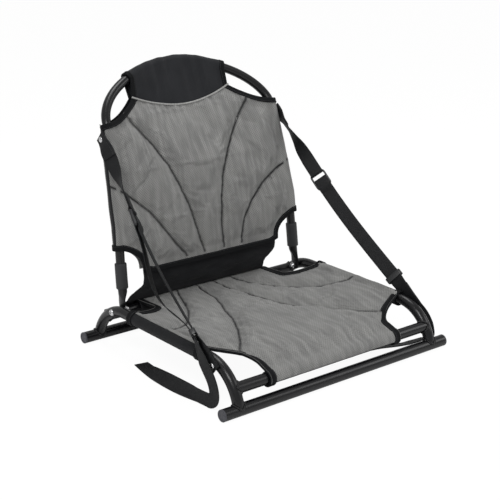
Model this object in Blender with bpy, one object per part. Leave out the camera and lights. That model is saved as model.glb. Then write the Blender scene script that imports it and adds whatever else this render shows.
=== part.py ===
"""Framed sling seat that stands on the floor of a kayak.

Two cross tubes lie on the floor.  A bent rail rises from them at each side and carries the seat
sling.  A hoop leans back between the rails on two bolts, carries the back sling and folds
forward when the webbing straps at the sides go slack.
Front is -Y, up is +Z, and the floor is z = 0.  All lengths are in metres.
"""
import math

import bmesh
import bpy
from mathutils import Matrix, Vector

# Floor tubes
FOOT_LENGTH = 0.484
FOOT_DIAMETER = 0.020
FOOT_WALL = 0.0016
FOOT_SPACING = 0.402
FRONT_FOOT_Y = -0.234249
CAP_FLANGE = 0.003
CAP_PLUG_DEPTH = 0.014
CAP_EDGE = 0.0008

# Side rails and the tubes between them
RAIL_DIAMETER = 0.019
RAIL_WALL = 0.0016
FOOT_BEYOND_RAIL = 0.031
RAIL_HEIGHT = 0.074
FRONT_BEND = 0.075
REAR_BEND = 0.090
FRONT_CROSS_HEIGHT = 0.041
REAR_CROSS_HEIGHT = 0.0535

# Back hoop
HOOP_DIAMETER = 0.016
HOOP_WALL = 0.0015
PIVOT_FORWARD_OF_REAR_FOOT = 0.058
UPRIGHT_INSIDE_RAIL = 0.0165
SHOULDER_NARROWING = 0.0155
CROWN_HEIGHT = 0.466
SHOULDER_BELOW_CROWN = 0.085
CROWN_ROUNDNESS = 1.85
LOWER_LEAN = math.radians(6.0)
MIDDLE_LEAN = math.radians(14.6)
TOP_LEAN = math.radians(38.5)
LOWER_BEND_HEIGHT = 0.215
UPPER_BEND_BELOW_CROWN = 0.081
LUG_THICKNESS = 0.0046
LUG_WIDTH = 0.0195
LUG_BELOW_PIVOT = 0.0085
LUG_LENGTH = 0.014
LUG_TAPER_LENGTH = 0.020
SPACER_THICKNESS = 0.0012

# Sleeves on the uprights
SLEEVE_DIAMETER = 0.021
SLEEVE_BOTTOM = 0.107
SLEEVE_LENGTH = 0.045

# Pivot bolts, nuts and rivets
BOLT_DIAMETER = 0.006
BOLT_HEAD_DIAMETER = 0.0115
BOLT_HEAD_HEIGHT = 0.0034
NUT_ACROSS_FLATS = 0.010
NUT_THICKNESS = 0.005
BOLT_BEYOND_NUT = 0.003
RIVET_DIAMETER = 0.0046
RIVET_HEAD_DIAMETER = 0.0095
RIVET_HEAD_HEIGHT = 0.0022
RIVET_INSIDE_TUBE = 0.001
STRAP_RIVET_BEHIND_FRONT_FOOT = 0.050
RIVET_BELOW_SHOULDER = 0.019

# Seat sling
SLING_WRAP = 0.0022
PAD_THICKNESS = 0.008
HEM_BEHIND_FRONT_FOOT = 0.093
HEM_AHEAD_OF_REAR_FOOT = 0.113
SEAT_FRONT_HALF_WIDTH = 0.142
SEAT_REAR_HALF_WIDTH = 0.146
FRONT_NOTCH_LENGTH = 0.062
REAR_NOTCH_LENGTH = 0.033
SEAT_NOTCH_POWER = 1.8
SEAT_MIDDLE_HEIGHT = 0.061
SEAT_DISH_POWER = 3.0
SEAT_DISH_START = 0.045

# Back sling, headrest panel and lower panel
PAD_IN_FRONT = 0.75
BACK_BOTTOM = 0.132
BACK_BOTTOM_HALF_WIDTH = 0.152
BACK_WRAP_BOTTOM = 0.176
BACK_NOTCH_POWER = 2.8
BACK_SHOULDER_RISE = 0.003
BACK_SHOULDER_POWER = 1.2
BACK_SAG = 0.024
BACK_SAG_BELOW_CROWN = 0.166
BACK_SAG_LENGTH = 0.095
CROWN_TUCK = 0.045
PIPING_BELOW_CROWN = 0.075
PIPING_RISE = 0.021
HEADREST_HALF_WIDTH = 0.104
LOWER_PANEL_THICKNESS = 0.003
LOWER_PANEL_HALF_WIDTH = 0.150
LOWER_PANEL_WAIST = 0.006
LOWER_PANEL_CURVE = 2.4

# Webbing and its hardware
WEBBING_WIDTH = 0.025
WEBBING_THICKNESS = 0.0016
STRAP_END = 0.010
STRAP_SAG = 0.0275
STRAP_SAG_POWER = 1.5
STRAP_BOW = 0.0112
STRAP_BOW_SKEW = 1.3
BUCKLE_SHARE = 0.353
BUCKLE_LENGTH = 0.034
BUCKLE_WIDTH = 0.031
BUCKLE_THICKNESS = 0.0055
BUCKLE_BAR = 0.0045
BUCKLE_CORNER = 0.004
KEEPER_SHARE = 0.864
KEEPER_LENGTH = 0.010
KEEPER_WALL = 0.0020
KEEPER_ROOM = 0.003
TAIL_SPACING = 0.004
TAIL_SLACK = 0.0005
LEFT_TAIL_BOW = 0.012
LEFT_TAIL_SAG = 0.019

# Fits
GAP = 0.0003
HOLE_CLEARANCE = 0.0004
SLEEVE_CLEARANCE = 0.0005

# Flats round a tube, a hole and a small turned piece
TUBE_SIDES = 14
FOOT_SIDES = 16
HOOP_SIDES = 12
COPE_SIDES = 24
HOLE_SIDES = 12
SMALL_SIDES = 16

# Values that follow from the sizes above
FOOT_RADIUS = FOOT_DIAMETER / 2
RAIL_RADIUS = RAIL_DIAMETER / 2
HOOP_RADIUS = HOOP_DIAMETER / 2
SHOULDER_HEIGHT = CROWN_HEIGHT - SHOULDER_BELOW_CROWN
SHOULDER_RIVET_HEIGHT = SHOULDER_HEIGHT - RIVET_BELOW_SHOULDER
UPPER_BEND_HEIGHT = CROWN_HEIGHT - UPPER_BEND_BELOW_CROWN
BACK_SAG_START = CROWN_HEIGHT - BACK_SAG_BELOW_CROWN
REAR_FOOT_Y = FRONT_FOOT_Y + FOOT_SPACING
HEM_FRONT = FRONT_FOOT_Y + HEM_BEHIND_FRONT_FOOT
HEM_REAR = REAR_FOOT_Y - HEM_AHEAD_OF_REAR_FOOT
RAIL_X = FOOT_LENGTH / 2 - FOOT_BEYOND_RAIL
UPRIGHT_HALF_WIDTH = RAIL_X - UPRIGHT_INSIDE_RAIL
SHOULDER_HALF_WIDTH = UPRIGHT_HALF_WIDTH - SHOULDER_NARROWING
WRAP_RADIUS = RAIL_RADIUS + GAP + SLING_WRAP
HOOP_WRAP_RADIUS = HOOP_RADIUS + GAP + SLING_WRAP
BOLT_RADIUS = BOLT_DIAMETER / 2
RIVET_RADIUS = RIVET_DIAMETER / 2


def bend_centre(foot_y, bend):
    """Y and Z of the centre of the arc that leads a rail down to the axis of a floor tube."""
    centre_z = RAIL_HEIGHT - bend
    reach = math.sqrt(bend ** 2 - (FOOT_RADIUS - centre_z) ** 2)
    return foot_y - math.copysign(reach, foot_y), centre_z


FRONT_CENTRE = bend_centre(FRONT_FOOT_Y, FRONT_BEND)
REAR_CENTRE = bend_centre(REAR_FOOT_Y, REAR_BEND)


def rail_z(y):
    """Height of a rail's axis at y."""
    if y < FRONT_CENTRE[0]:
        return FRONT_CENTRE[1] + math.sqrt(max(FRONT_BEND ** 2 - (y - FRONT_CENTRE[0]) ** 2, 0))
    if y > REAR_CENTRE[0]:
        return REAR_CENTRE[1] + math.sqrt(max(REAR_BEND ** 2 - (y - REAR_CENTRE[0]) ** 2, 0))
    return RAIL_HEIGHT


FRONT_CROSS_RISE = FRONT_CROSS_HEIGHT - FRONT_CENTRE[1]
REAR_CROSS_RISE = REAR_CROSS_HEIGHT - REAR_CENTRE[1]
FRONT_CROSS_Y = FRONT_CENTRE[0] - math.sqrt(FRONT_BEND ** 2 - FRONT_CROSS_RISE ** 2)
REAR_CROSS_Y = REAR_CENTRE[0] + math.sqrt(REAR_BEND ** 2 - REAR_CROSS_RISE ** 2)
PIVOT_Y = REAR_FOOT_Y - PIVOT_FORWARD_OF_REAR_FOOT
PIVOT_Z = rail_z(PIVOT_Y)
STRAP_RIVET_Y = FRONT_FOOT_Y + STRAP_RIVET_BEHIND_FRONT_FOOT
ANCHOR_Z = rail_z(STRAP_RIVET_Y)
ANCHOR_X = RAIL_X + RAIL_RADIUS + GAP + WEBBING_THICKNESS / 2
LUG_X = RAIL_X - RAIL_RADIUS - SPACER_THICKNESS - 2 * GAP - LUG_THICKNESS / 2


def hoop_y(z):
    """Depth of the hoop's axis at height z: three straight runs with a bend between each two."""
    y = PIVOT_Y + (min(z, LOWER_BEND_HEIGHT) - PIVOT_Z) * math.tan(LOWER_LEAN)
    y += max(min(z, UPPER_BEND_HEIGHT) - LOWER_BEND_HEIGHT, 0) * math.tan(MIDDLE_LEAN)
    return y + max(z - UPPER_BEND_HEIGHT, 0) * math.tan(TOP_LEAN)


def upright_x(z):
    """Half the distance between the uprights' axes at height z: they draw in towards the top."""
    share = (z - PIVOT_Z) / (SHOULDER_HEIGHT - PIVOT_Z)
    return UPRIGHT_HALF_WIDTH - (UPRIGHT_HALF_WIDTH - SHOULDER_HALF_WIDTH) * share ** 2


def lug_share(z):
    """How far the hoop's tube is pressed flat at height z: 1 at the lug, 0 where it is round."""
    return 1 - min(max((z - PIVOT_Z - LUG_LENGTH) / LUG_TAPER_LENGTH, 0), 1)


def crown_z(x):
    """Height of the hoop's axis over the shoulders at x."""
    share = 1 - min(abs(x) / SHOULDER_HALF_WIDTH, 1) ** CROWN_ROUNDNESS
    return SHOULDER_HEIGHT + (CROWN_HEIGHT - SHOULDER_HEIGHT) * share ** (1 / CROWN_ROUNDNESS)


SHOULDER_Y = hoop_y(SHOULDER_RIVET_HEIGHT)
SHOULDER_X = upright_x(SHOULDER_RIVET_HEIGHT) + HOOP_WRAP_RADIUS + 3 * GAP + WEBBING_THICKNESS / 2


def hoop_path(upright_steps=9, crown_steps=22):
    """The hoop's axis from the left lug over the crown to the right lug."""
    bottom = PIVOT_Z - LUG_BELOW_PIVOT
    heights = [bottom, PIVOT_Z + LUG_LENGTH, PIVOT_Z + LUG_LENGTH + LUG_TAPER_LENGTH]
    start = heights[-1]
    heights += [start + (SHOULDER_HEIGHT - start) * (i + 1) / upright_steps for i in range(upright_steps)]
    right = []
    for z in heights:
        x = upright_x(z) + (LUG_X - upright_x(z)) * lug_share(z)
        right.append(Vector((x, hoop_y(z), z)))
    crown = []
    for i in range(1, crown_steps):
        angle = math.pi * i / crown_steps
        share = math.copysign(abs(math.cos(angle)) ** (2 / CROWN_ROUNDNESS), math.cos(angle))
        x = -share * SHOULDER_HALF_WIDTH
        crown.append(Vector((x, hoop_y(crown_z(x)), crown_z(x))))
    left = [Vector((-p.x, p.y, p.z)) for p in right]
    return left + crown + right[::-1]


def rail_path(x, front_steps=9, rear_steps=9):
    """A rail's axis from the front floor tube over the top to the rear floor tube."""
    points = []
    front_end = math.acos((FOOT_RADIUS - FRONT_CENTRE[1]) / FRONT_BEND)
    rear_end = math.acos((FOOT_RADIUS - REAR_CENTRE[1]) / REAR_BEND)
    for i in range(front_steps + 1):
        angle = front_end * (1 - i / front_steps)
        y = FRONT_CENTRE[0] - FRONT_BEND * math.sin(angle)
        points.append(Vector((x, y, FRONT_CENTRE[1] + FRONT_BEND * math.cos(angle))))
    for i in range(rear_steps + 1):
        angle = rear_end * i / rear_steps
        y = REAR_CENTRE[0] + REAR_BEND * math.sin(angle)
        points.append(Vector((x, y, REAR_CENTRE[1] + REAR_BEND * math.cos(angle))))
    return points


def smooth_path(points, steps):
    """Points on a smooth curve through the given ones."""
    points = [Vector(p) for p in points]
    ends = [2 * points[0] - points[1]] + points + [2 * points[-1] - points[-2]]
    result = []
    for i in range(1, len(ends) - 2):
        a, b, c, d = ends[i - 1:i + 3]
        for k in range(steps):
            t = k / steps
            result.append(0.5 * (2 * b + (c - a) * t + (2 * a - 5 * b + 4 * c - d) * t ** 2
                                 + (3 * b - a - 3 * c + d) * t ** 3))
    return result + [points[-1]]


def linear(channel):
    """One sRGB channel as a linear value."""
    return channel / 12.92 if channel <= 0.04045 else ((channel + 0.055) / 1.055) ** 2.4


def make_material(name, hex_colour, roughness, metallic=0.0):
    """A plain Principled material."""
    material = bpy.data.materials.new(name)
    material.use_nodes = True
    shader = material.node_tree.nodes["Principled BSDF"]
    channels = [linear(int(hex_colour[i:i + 2], 16) / 255) for i in (0, 2, 4)]
    shader.inputs["Base Color"].default_value = (*channels, 1)
    shader.inputs["Roughness"].default_value = roughness
    shader.inputs["Metallic"].default_value = metallic
    material.diffuse_color = (*channels, 1)
    return material


def add_object(name, mesh, material=None):
    """A named object in the scene."""
    thing = bpy.data.objects.new(name, mesh)
    bpy.context.scene.collection.objects.link(thing)
    if material:
        mesh.materials.clear()
        mesh.materials.append(material)
        mesh.shade_smooth()
        mesh.set_sharp_from_angle(angle=math.radians(40))
    return thing


def make_cutter(thing):
    """Marks an object as one that only cuts others or joins them."""
    thing.hide_render = True
    thing.display_type = "WIRE"
    return thing


def tube(name, points, radius, material=None, wall=None, sides=TUBE_SIDES):
    """A round tube along points: open and hollow with a wall, or solid with closed ends."""
    curve = bpy.data.curves.new(name, "CURVE")
    curve.dimensions = "3D"
    curve.bevel_depth = radius
    curve.bevel_resolution = sides // 2 - 2
    curve.use_fill_caps = wall is None
    spline = curve.splines.new("POLY")
    spline.points.add(len(points) - 1)
    for spot, point in zip(spline.points, points):
        spot.co = (*point, 1)
    holder = bpy.data.objects.new(name + "_curve", curve)
    bpy.context.scene.collection.objects.link(holder)
    rough = bpy.data.meshes.new_from_object(holder.evaluated_get(bpy.context.evaluated_depsgraph_get()))
    bpy.data.objects.remove(holder)
    shape = bmesh.new()
    shape.from_mesh(rough)
    thing = add_object(name, closed_mesh(name, shape, turn_outwards=wall is None), material)
    if wall:
        shell = thing.modifiers.new("wall", "SOLIDIFY")
        shell.thickness = wall
        shell.offset = -1
    return thing


def closed_mesh(name, shape, turn_outwards=True):
    """A mesh from a bmesh, with its doubles merged and its faces turned outwards."""
    bmesh.ops.remove_doubles(shape, verts=shape.verts, dist=0.00001)
    if turn_outwards:
        bmesh.ops.recalc_face_normals(shape, faces=shape.faces)
    mesh = bpy.data.meshes.new(name)
    shape.to_mesh(mesh)
    shape.free()
    return mesh


def turned(name, profile, place, direction, material=None, segments=SMALL_SIDES):
    """A solid turned about direction through place; profile holds (radius, height) pairs."""
    shape = bmesh.new()
    spots = [shape.verts.new((radius, 0, height)) for radius, height in profile]
    edges = [shape.edges.new(pair) for pair in zip(spots[:-1], spots[1:])]
    bmesh.ops.spin(shape, geom=spots + edges, cent=(0, 0, 0), axis=(0, 0, 1), angle=2 * math.pi,
                   steps=segments, use_duplicate=False)
    turn = Vector((0, 0, 1)).rotation_difference(Vector(direction)).to_matrix().to_4x4()
    bmesh.ops.transform(shape, matrix=Matrix.Translation(place) @ turn, verts=shape.verts)
    return add_object(name, closed_mesh(name, shape), material)


def dome(radius, height, start):
    """Profile of a domed head that stands on the height start."""
    turns = [math.pi / 2 * i / 3 for i in range(4)]
    return [(radius * math.cos(turn), start + height * math.sin(turn)) for turn in turns]


def rod(name, start, end, radius, segments=HOLE_SIDES):
    """A plain round cutter between two points."""
    start, end = Vector(start), Vector(end)
    length = (end - start).length
    profile = [(0, 0), (radius, 0), (radius, length), (0, length)]
    return make_cutter(turned(name, profile, start, end - start, segments=segments))


def combine(thing, other, operation="DIFFERENCE", crossing=False):
    """A live Boolean on thing; crossing says that thing's own faces may cross each other."""
    step = thing.modifiers.new(other.name, "BOOLEAN")
    step.operation = operation
    step.solver = "EXACT"
    step.use_self = crossing
    step.object = other


def grid_solid(name, top, bottom, material=None):
    """A closed solid between two equal grids of points."""
    shape = bmesh.new()
    rows, columns = len(top), len(top[0])
    upper = [[shape.verts.new(p) for p in row] for row in top]
    lower = [[shape.verts.new(p) for p in row] for row in bottom]
    for i in range(rows - 1):
        for j in range(columns - 1):
            shape.faces.new((upper[i][j], upper[i][j + 1], upper[i + 1][j + 1], upper[i + 1][j]))
            shape.faces.new((lower[i][j], lower[i + 1][j], lower[i + 1][j + 1], lower[i][j + 1]))
    for j in range(columns - 1):
        shape.faces.new((upper[0][j + 1], upper[0][j], lower[0][j], lower[0][j + 1]))
        shape.faces.new((upper[-1][j], upper[-1][j + 1], lower[-1][j + 1], lower[-1][j]))
    for i in range(rows - 1):
        shape.faces.new((upper[i][0], upper[i + 1][0], lower[i + 1][0], lower[i][0]))
        shape.faces.new((upper[i + 1][-1], upper[i][-1], lower[i][-1], lower[i + 1][-1]))
    return add_object(name, closed_mesh(name, shape), material)


def strip(name, points, flats, material, steps=5):
    """Webbing along points, never under the floor; flats says where its flat side faces at each."""
    route = smooth_path(points, steps)
    facing = smooth_path(flats, steps)
    shape = bmesh.new()
    rings = []
    for i, point in enumerate(route):
        along = (route[min(i + 1, len(route) - 1)] - route[max(i - 1, 0)]).normalized()
        across = along.cross(facing[i]).normalized()
        out = across.cross(along).normalized()
        a = across * WEBBING_WIDTH / 2
        b = out * WEBBING_THICKNESS / 2
        corners = [point + corner for corner in (-a - b, a - b, a + b, b - a)]
        lift = Vector((0, 0, max(GAP - min(corner.z for corner in corners), 0)))
        rings.append([shape.verts.new(corner + lift) for corner in corners])
    for near, far in zip(rings[:-1], rings[1:]):
        for k in range(4):
            shape.faces.new((near[k], near[(k + 1) % 4], far[(k + 1) % 4], far[k]))
    shape.faces.new(rings[0][::-1])
    shape.faces.new(rings[-1])
    return add_object(name, closed_mesh(name, shape), material)


# Frame


def make_foot_tube(name, y, steel):
    """A straight floor tube, open at both ends for its caps."""
    half = FOOT_LENGTH / 2
    ends = [(-half, y, FOOT_RADIUS), (half, y, FOOT_RADIUS)]
    return tube(name, ends, FOOT_RADIUS, steel, FOOT_WALL, sides=FOOT_SIDES)


def make_end_cap(name, side, y, plastic):
    """A plug with a flange as wide as the tube, turned in one piece."""
    plug = FOOT_RADIUS - FOOT_WALL - GAP
    profile = [(0, -CAP_PLUG_DEPTH), (plug - CAP_EDGE, -CAP_PLUG_DEPTH)]
    profile += [(plug, -CAP_PLUG_DEPTH + CAP_EDGE), (plug, GAP), (FOOT_RADIUS, GAP)]
    profile += [(FOOT_RADIUS, CAP_FLANGE - CAP_EDGE), (FOOT_RADIUS - CAP_EDGE, CAP_FLANGE), (0, CAP_FLANGE)]
    place = (side * FOOT_LENGTH / 2, y, FOOT_RADIUS)
    return turned(name, profile, place, (side, 0, 0), plastic, segments=FOOT_SIDES)


def make_rail(name, side, steel):
    """A bent rail, coped onto the floor tubes and drilled for its bolt and its rivet."""
    x = side * RAIL_X
    rail = tube(name, rail_path(x), RAIL_RADIUS, steel, RAIL_WALL)
    for label, y in (("front", FRONT_FOOT_Y), ("rear", REAR_FOOT_Y)):
        combine(rail, rod(f"{name}_{label}_cope", (x - RAIL_DIAMETER, y, FOOT_RADIUS),
                          (x + RAIL_DIAMETER, y, FOOT_RADIUS), FOOT_RADIUS + GAP, COPE_SIDES))
    combine(rail, rod(f"{name}_bolt_hole", (x - RAIL_DIAMETER, PIVOT_Y, PIVOT_Z),
                      (x + RAIL_DIAMETER, PIVOT_Y, PIVOT_Z), BOLT_RADIUS + HOLE_CLEARANCE))
    combine(rail, rod(f"{name}_rivet_hole", (x, STRAP_RIVET_Y, ANCHOR_Z),
                      (x + side * RAIL_DIAMETER, STRAP_RIVET_Y, ANCHOR_Z), RIVET_RADIUS + HOLE_CLEARANCE))
    return rail


def make_cross_tube(name, y, z, steel):
    """A straight tube between the rails, coped onto them."""
    cross = tube(name, [(-RAIL_X, y, z), (RAIL_X, y, z)], RAIL_RADIUS, steel, RAIL_WALL)
    for side, label in ((-1, "left"), (1, "right")):
        cope = tube(f"{name}_{label}_cope", rail_path(side * RAIL_X), RAIL_RADIUS + GAP)
        combine(cross, make_cutter(cope))
    return cross


def shoulder_drill(name, side):
    """Cutter for a shoulder rivet's hole, from the axis of an upright outwards."""
    x = side * upright_x(SHOULDER_RIVET_HEIGHT)
    return rod(f"{name}_rivet_hole", (x, SHOULDER_Y, SHOULDER_RIVET_HEIGHT),
               (x + side * HOOP_DIAMETER, SHOULDER_Y, SHOULDER_RIVET_HEIGHT), RIVET_RADIUS + HOLE_CLEARANCE)


def make_hoop(steel):
    """The back hoop: one tube over the crown, pressed flat at its two lugs and drilled there."""
    hoop = tube("back_hoop", hoop_path(), HOOP_RADIUS, steel, HOOP_WALL, sides=HOOP_SIDES)
    for spot in hoop.data.vertices:
        share = lug_share(spot.co.z)
        centre_x = math.copysign(upright_x(spot.co.z) + (LUG_X - upright_x(spot.co.z)) * share, spot.co.x)
        centre_y = hoop_y(spot.co.z)
        thin = 1 + (LUG_THICKNESS / HOOP_DIAMETER - 1) * share
        wide = 1 + (LUG_WIDTH / HOOP_DIAMETER - 1) * share
        if share > 0:
            spot.co.x = centre_x + (spot.co.x - centre_x) * thin
            spot.co.y = centre_y + (spot.co.y - centre_y) * wide
    for side, label in ((-1, "left"), (1, "right")):
        combine(hoop, rod(f"back_hoop_{label}_hole", (side * LUG_X - LUG_THICKNESS, PIVOT_Y, PIVOT_Z),
                          (side * LUG_X + LUG_THICKNESS, PIVOT_Y, PIVOT_Z), BOLT_RADIUS + HOLE_CLEARANCE))
        combine(hoop, shoulder_drill(f"back_hoop_{label}", side))
    return hoop


def make_sleeve(name, side, rubber):
    """A rubber sleeve pushed over an upright."""
    levels = [SLEEVE_BOTTOM + SLEEVE_LENGTH * i / 3 for i in range(4)]
    points = [(side * upright_x(z), hoop_y(z), z) for z in levels]
    wall = SLEEVE_DIAMETER / 2 - HOOP_RADIUS - SLEEVE_CLEARANCE
    return tube(name, points, SLEEVE_DIAMETER / 2, rubber, wall, sides=HOOP_SIDES)


def make_pivot_bolt(name, side, metal):
    """Button-head bolt through the rail, the spacer and the lug."""
    seat = RAIL_X + RAIL_RADIUS + GAP
    inner = LUG_X - LUG_THICKNESS / 2 - GAP - NUT_THICKNESS - BOLT_BEYOND_NUT
    profile = [(0, 0), (BOLT_RADIUS, 0), (BOLT_RADIUS, seat - inner)]
    profile += dome(BOLT_HEAD_DIAMETER / 2, BOLT_HEAD_HEIGHT, seat - inner)
    return turned(name, profile, (side * inner, PIVOT_Y, PIVOT_Z), (side, 0, 0), metal)


def make_pivot_nut(name, side, metal):
    """Hexagon nut on the inner side of a lug."""
    start = LUG_X - LUG_THICKNESS / 2 - GAP
    outer = NUT_ACROSS_FLATS / math.sqrt(3)
    bore = (BOLT_RADIUS + GAP) / math.cos(math.pi / 6)
    profile = [(bore, 0), (outer, 0), (outer, NUT_THICKNESS), (bore, NUT_THICKNESS), (bore, 0)]
    return turned(name, profile, (side * start, PIVOT_Y, PIVOT_Z), (-side, 0, 0), metal, segments=6)


def make_pivot_spacer(name, side, plastic):
    """Washer between a rail and a lug."""
    start = LUG_X + LUG_THICKNESS / 2 + GAP
    bore = BOLT_RADIUS + GAP
    outer = BOLT_HEAD_DIAMETER / 2
    profile = [(bore, 0), (outer, 0), (outer, SPACER_THICKNESS), (bore, SPACER_THICKNESS), (bore, 0)]
    return turned(name, profile, (side * start, PIVOT_Y, PIVOT_Z), (side, 0, 0), plastic)


def make_rivet(name, side, strap_x, wall_x, y, z, metal):
    """Domed rivet through a strap whose middle is at strap_x and a tube wall whose inside is at wall_x."""
    under_head = strap_x + WEBBING_THICKNESS / 2 + 3 * GAP
    depth = under_head - wall_x + RIVET_INSIDE_TUBE
    profile = [(0, -depth), (RIVET_RADIUS, -depth), (RIVET_RADIUS, 0)]
    profile += dome(RIVET_HEAD_DIAMETER / 2, RIVET_HEAD_HEIGHT, 0)
    return turned(name, profile, (side * under_head, y, z), (side, 0, 0), metal)


# Slings


def seat_half_width(y):
    """Half the seat's width at y: out to the rails' axes, with a rounded notch at each corner."""
    ahead = min(max((y - HEM_FRONT) / FRONT_NOTCH_LENGTH + 1, 0), 1)
    behind = min(max((HEM_REAR - y) / REAR_NOTCH_LENGTH + 1, 0), 1)
    front = SEAT_FRONT_HALF_WIDTH + (RAIL_X - SEAT_FRONT_HALF_WIDTH) * ahead ** SEAT_NOTCH_POWER
    rear = SEAT_REAR_HALF_WIDTH + (RAIL_X - SEAT_REAR_HALF_WIDTH) * behind ** SEAT_NOTCH_POWER
    return min(front, rear)


def seat_height(x, y):
    """Height of the seat's upper side: high along the rails, lower at the tubes and in the middle."""
    tube_z = FRONT_CROSS_HEIGHT if y < 0 else REAR_CROSS_HEIGHT
    from_tube = min(y - FRONT_CROSS_Y, REAR_CROSS_Y - y)
    rise = min(from_tube / SEAT_DISH_START, 1)
    hem = tube_z + WRAP_RADIUS
    middle = hem + (SEAT_MIDDLE_HEIGHT - hem) * rise
    side = RAIL_HEIGHT + RAIL_RADIUS
    return middle + (side - middle) * rise * min(abs(x) / RAIL_X, 1) ** SEAT_DISH_POWER


def between(start, end, steps):
    """Evenly spaced values from start to just before end."""
    return [start + (end - start) * i / steps for i in range(steps)]


def make_seat_sling(mesh_cloth):
    """The padded seat with its hems round the rails and round both cross tubes."""
    rows = between(FRONT_CROSS_Y, HEM_FRONT - FRONT_NOTCH_LENGTH, 1)
    rows += between(HEM_FRONT - FRONT_NOTCH_LENGTH, HEM_FRONT, 4)
    rows += between(HEM_FRONT, HEM_REAR, 4)
    rows += between(HEM_REAR, HEM_REAR + REAR_NOTCH_LENGTH, 4)
    rows += between(HEM_REAR + REAR_NOTCH_LENGTH, REAR_CROSS_Y, 2) + [REAR_CROSS_Y]
    shares = [math.sin(math.pi / 2 * (i / 6 - 1)) for i in range(13)]
    top = []
    for y in rows:
        half = seat_half_width(y)
        top.append([Vector((half * s, y, seat_height(half * s, y))) for s in shares])
    bottom = [[p - Vector((0, 0, PAD_THICKNESS)) for p in row] for row in top]
    seat = grid_solid("seat_sling", top, bottom, mesh_cloth)
    for side, label in ((-1, "left"), (1, "right")):
        x = side * RAIL_X
        ends = [Vector((x, HEM_FRONT, RAIL_HEIGHT)), Vector((x, HEM_REAR, RAIL_HEIGHT))]
        combine(seat, make_cutter(tube(f"seat_{label}_hem", ends, WRAP_RADIUS)), "UNION")
    cross_tubes = (("front", SEAT_FRONT_HALF_WIDTH, FRONT_CROSS_Y, FRONT_CROSS_HEIGHT),
                   ("rear", SEAT_REAR_HALF_WIDTH, REAR_CROSS_Y, REAR_CROSS_HEIGHT))
    for label, half, y, z in cross_tubes:
        hem = tube(f"seat_{label}_hem", [(-half, y, z), (half, y, z)], WRAP_RADIUS)
        combine(seat, make_cutter(hem), "UNION")
    for side, label in ((-1, "left"), (1, "right")):
        room = tube(f"seat_{label}_room", rail_path(side * RAIL_X), RAIL_RADIUS + GAP)
        combine(seat, make_cutter(room))
    for label, half, y, z in cross_tubes:
        reach = half + RAIL_RADIUS
        room = rod(f"seat_{label}_room", (-reach, y, z), (reach, y, z), RAIL_RADIUS + GAP, SMALL_SIDES)
        combine(seat, room)
    return seat


def piping_z(x):
    """Height of the seam between the back sling and the headrest panel at x."""
    return CROWN_HEIGHT - PIPING_BELOW_CROWN + PIPING_RISE * (x / HEADREST_HALF_WIDTH) ** 2


def back_y(x, z):
    """Depth of the back's middle surface: level with the hoop, and sagging behind it near the top."""
    rise = min(max((z - BACK_SAG_START) / BACK_SAG_LENGTH, 0), 1)
    fall = min(max((CROWN_HEIGHT - z) / CROWN_TUCK, 0), 1)
    sag = BACK_SAG * math.sin(rise * math.pi / 2) * fall
    return hoop_y(z) + sag * max(1 - (x / SHOULDER_HALF_WIDTH) ** 2, 0)


# Shares of the back's half width where the headrest panel and the straight lower edge end
HEADREST_SHARE = HEADREST_HALF_WIDTH / SHOULDER_HALF_WIDTH
CORNER_SHARE = BACK_BOTTOM_HALF_WIDTH / UPRIGHT_HALF_WIDTH
HEADREST_COLUMNS = [HEADREST_SHARE * i / 4 for i in range(5)]


def back_limits(share):
    """Lowest and highest point of the back sling in the column at a share of its half width."""
    s = abs(share)
    past_corner = max(s - CORNER_SHARE, 0) / (1 - CORNER_SHARE)
    low = BACK_BOTTOM + (BACK_WRAP_BOTTOM - BACK_BOTTOM) * past_corner ** (1 / BACK_NOTCH_POWER)
    if s <= HEADREST_SHARE:
        return low, piping_z(s * SHOULDER_HALF_WIDTH)
    to_upright = (1 - s) / (1 - HEADREST_SHARE)
    shoulder = SHOULDER_HEIGHT + BACK_SHOULDER_RISE
    return low, shoulder + (piping_z(HEADREST_HALF_WIDTH) - shoulder) * to_upright ** BACK_SHOULDER_POWER


def pad_columns(x, z, front_row, rear_row):
    """Adds the front and the rear point of the padded back at x and z to two rows."""
    middle = back_y(x, z)
    front_row.append(Vector((x, middle - PAD_THICKNESS * PAD_IN_FRONT, z)))
    rear_row.append(Vector((x, middle + PAD_THICKNESS * (1 - PAD_IN_FRONT), z)))


def make_back_sling(mesh_cloth):
    """The padded back, wrapped round both uprights."""
    half = HEADREST_COLUMNS + between(HEADREST_SHARE, CORNER_SHARE, 2)[1:]
    half += [CORNER_SHARE + (1 - CORNER_SHARE) * (i / 4) ** 1.5 for i in range(5)]
    shares = [-s for s in half[:0:-1]] + half
    steps = 12
    front, rear = [], []
    for i in range(steps + 1):
        front.append([])
        rear.append([])
        for share in shares:
            low, high = back_limits(share)
            z = low + (high - low) * i / steps
            pad_columns(share * upright_x(min(z, SHOULDER_HEIGHT)), z, front[-1], rear[-1])
    sling = grid_solid("back_sling", front, rear, mesh_cloth)
    levels = between(BACK_WRAP_BOTTOM, SHOULDER_HEIGHT, 6) + [SHOULDER_HEIGHT]
    for side, label in ((-1, "left"), (1, "right")):
        points = [(side * upright_x(z), hoop_y(z), z) for z in levels]
        wrap = tube(f"back_{label}_wrap", points, HOOP_WRAP_RADIUS, sides=HOOP_SIDES)
        combine(sling, make_cutter(wrap), "UNION")
    room = tube("back_room", hoop_path(), HOOP_RADIUS + GAP, sides=HOOP_SIDES)
    combine(sling, make_cutter(room), crossing=True)
    for side, label in ((-1, "left"), (1, "right")):
        combine(sling, shoulder_drill(f"back_{label}", side))
    return sling


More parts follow.
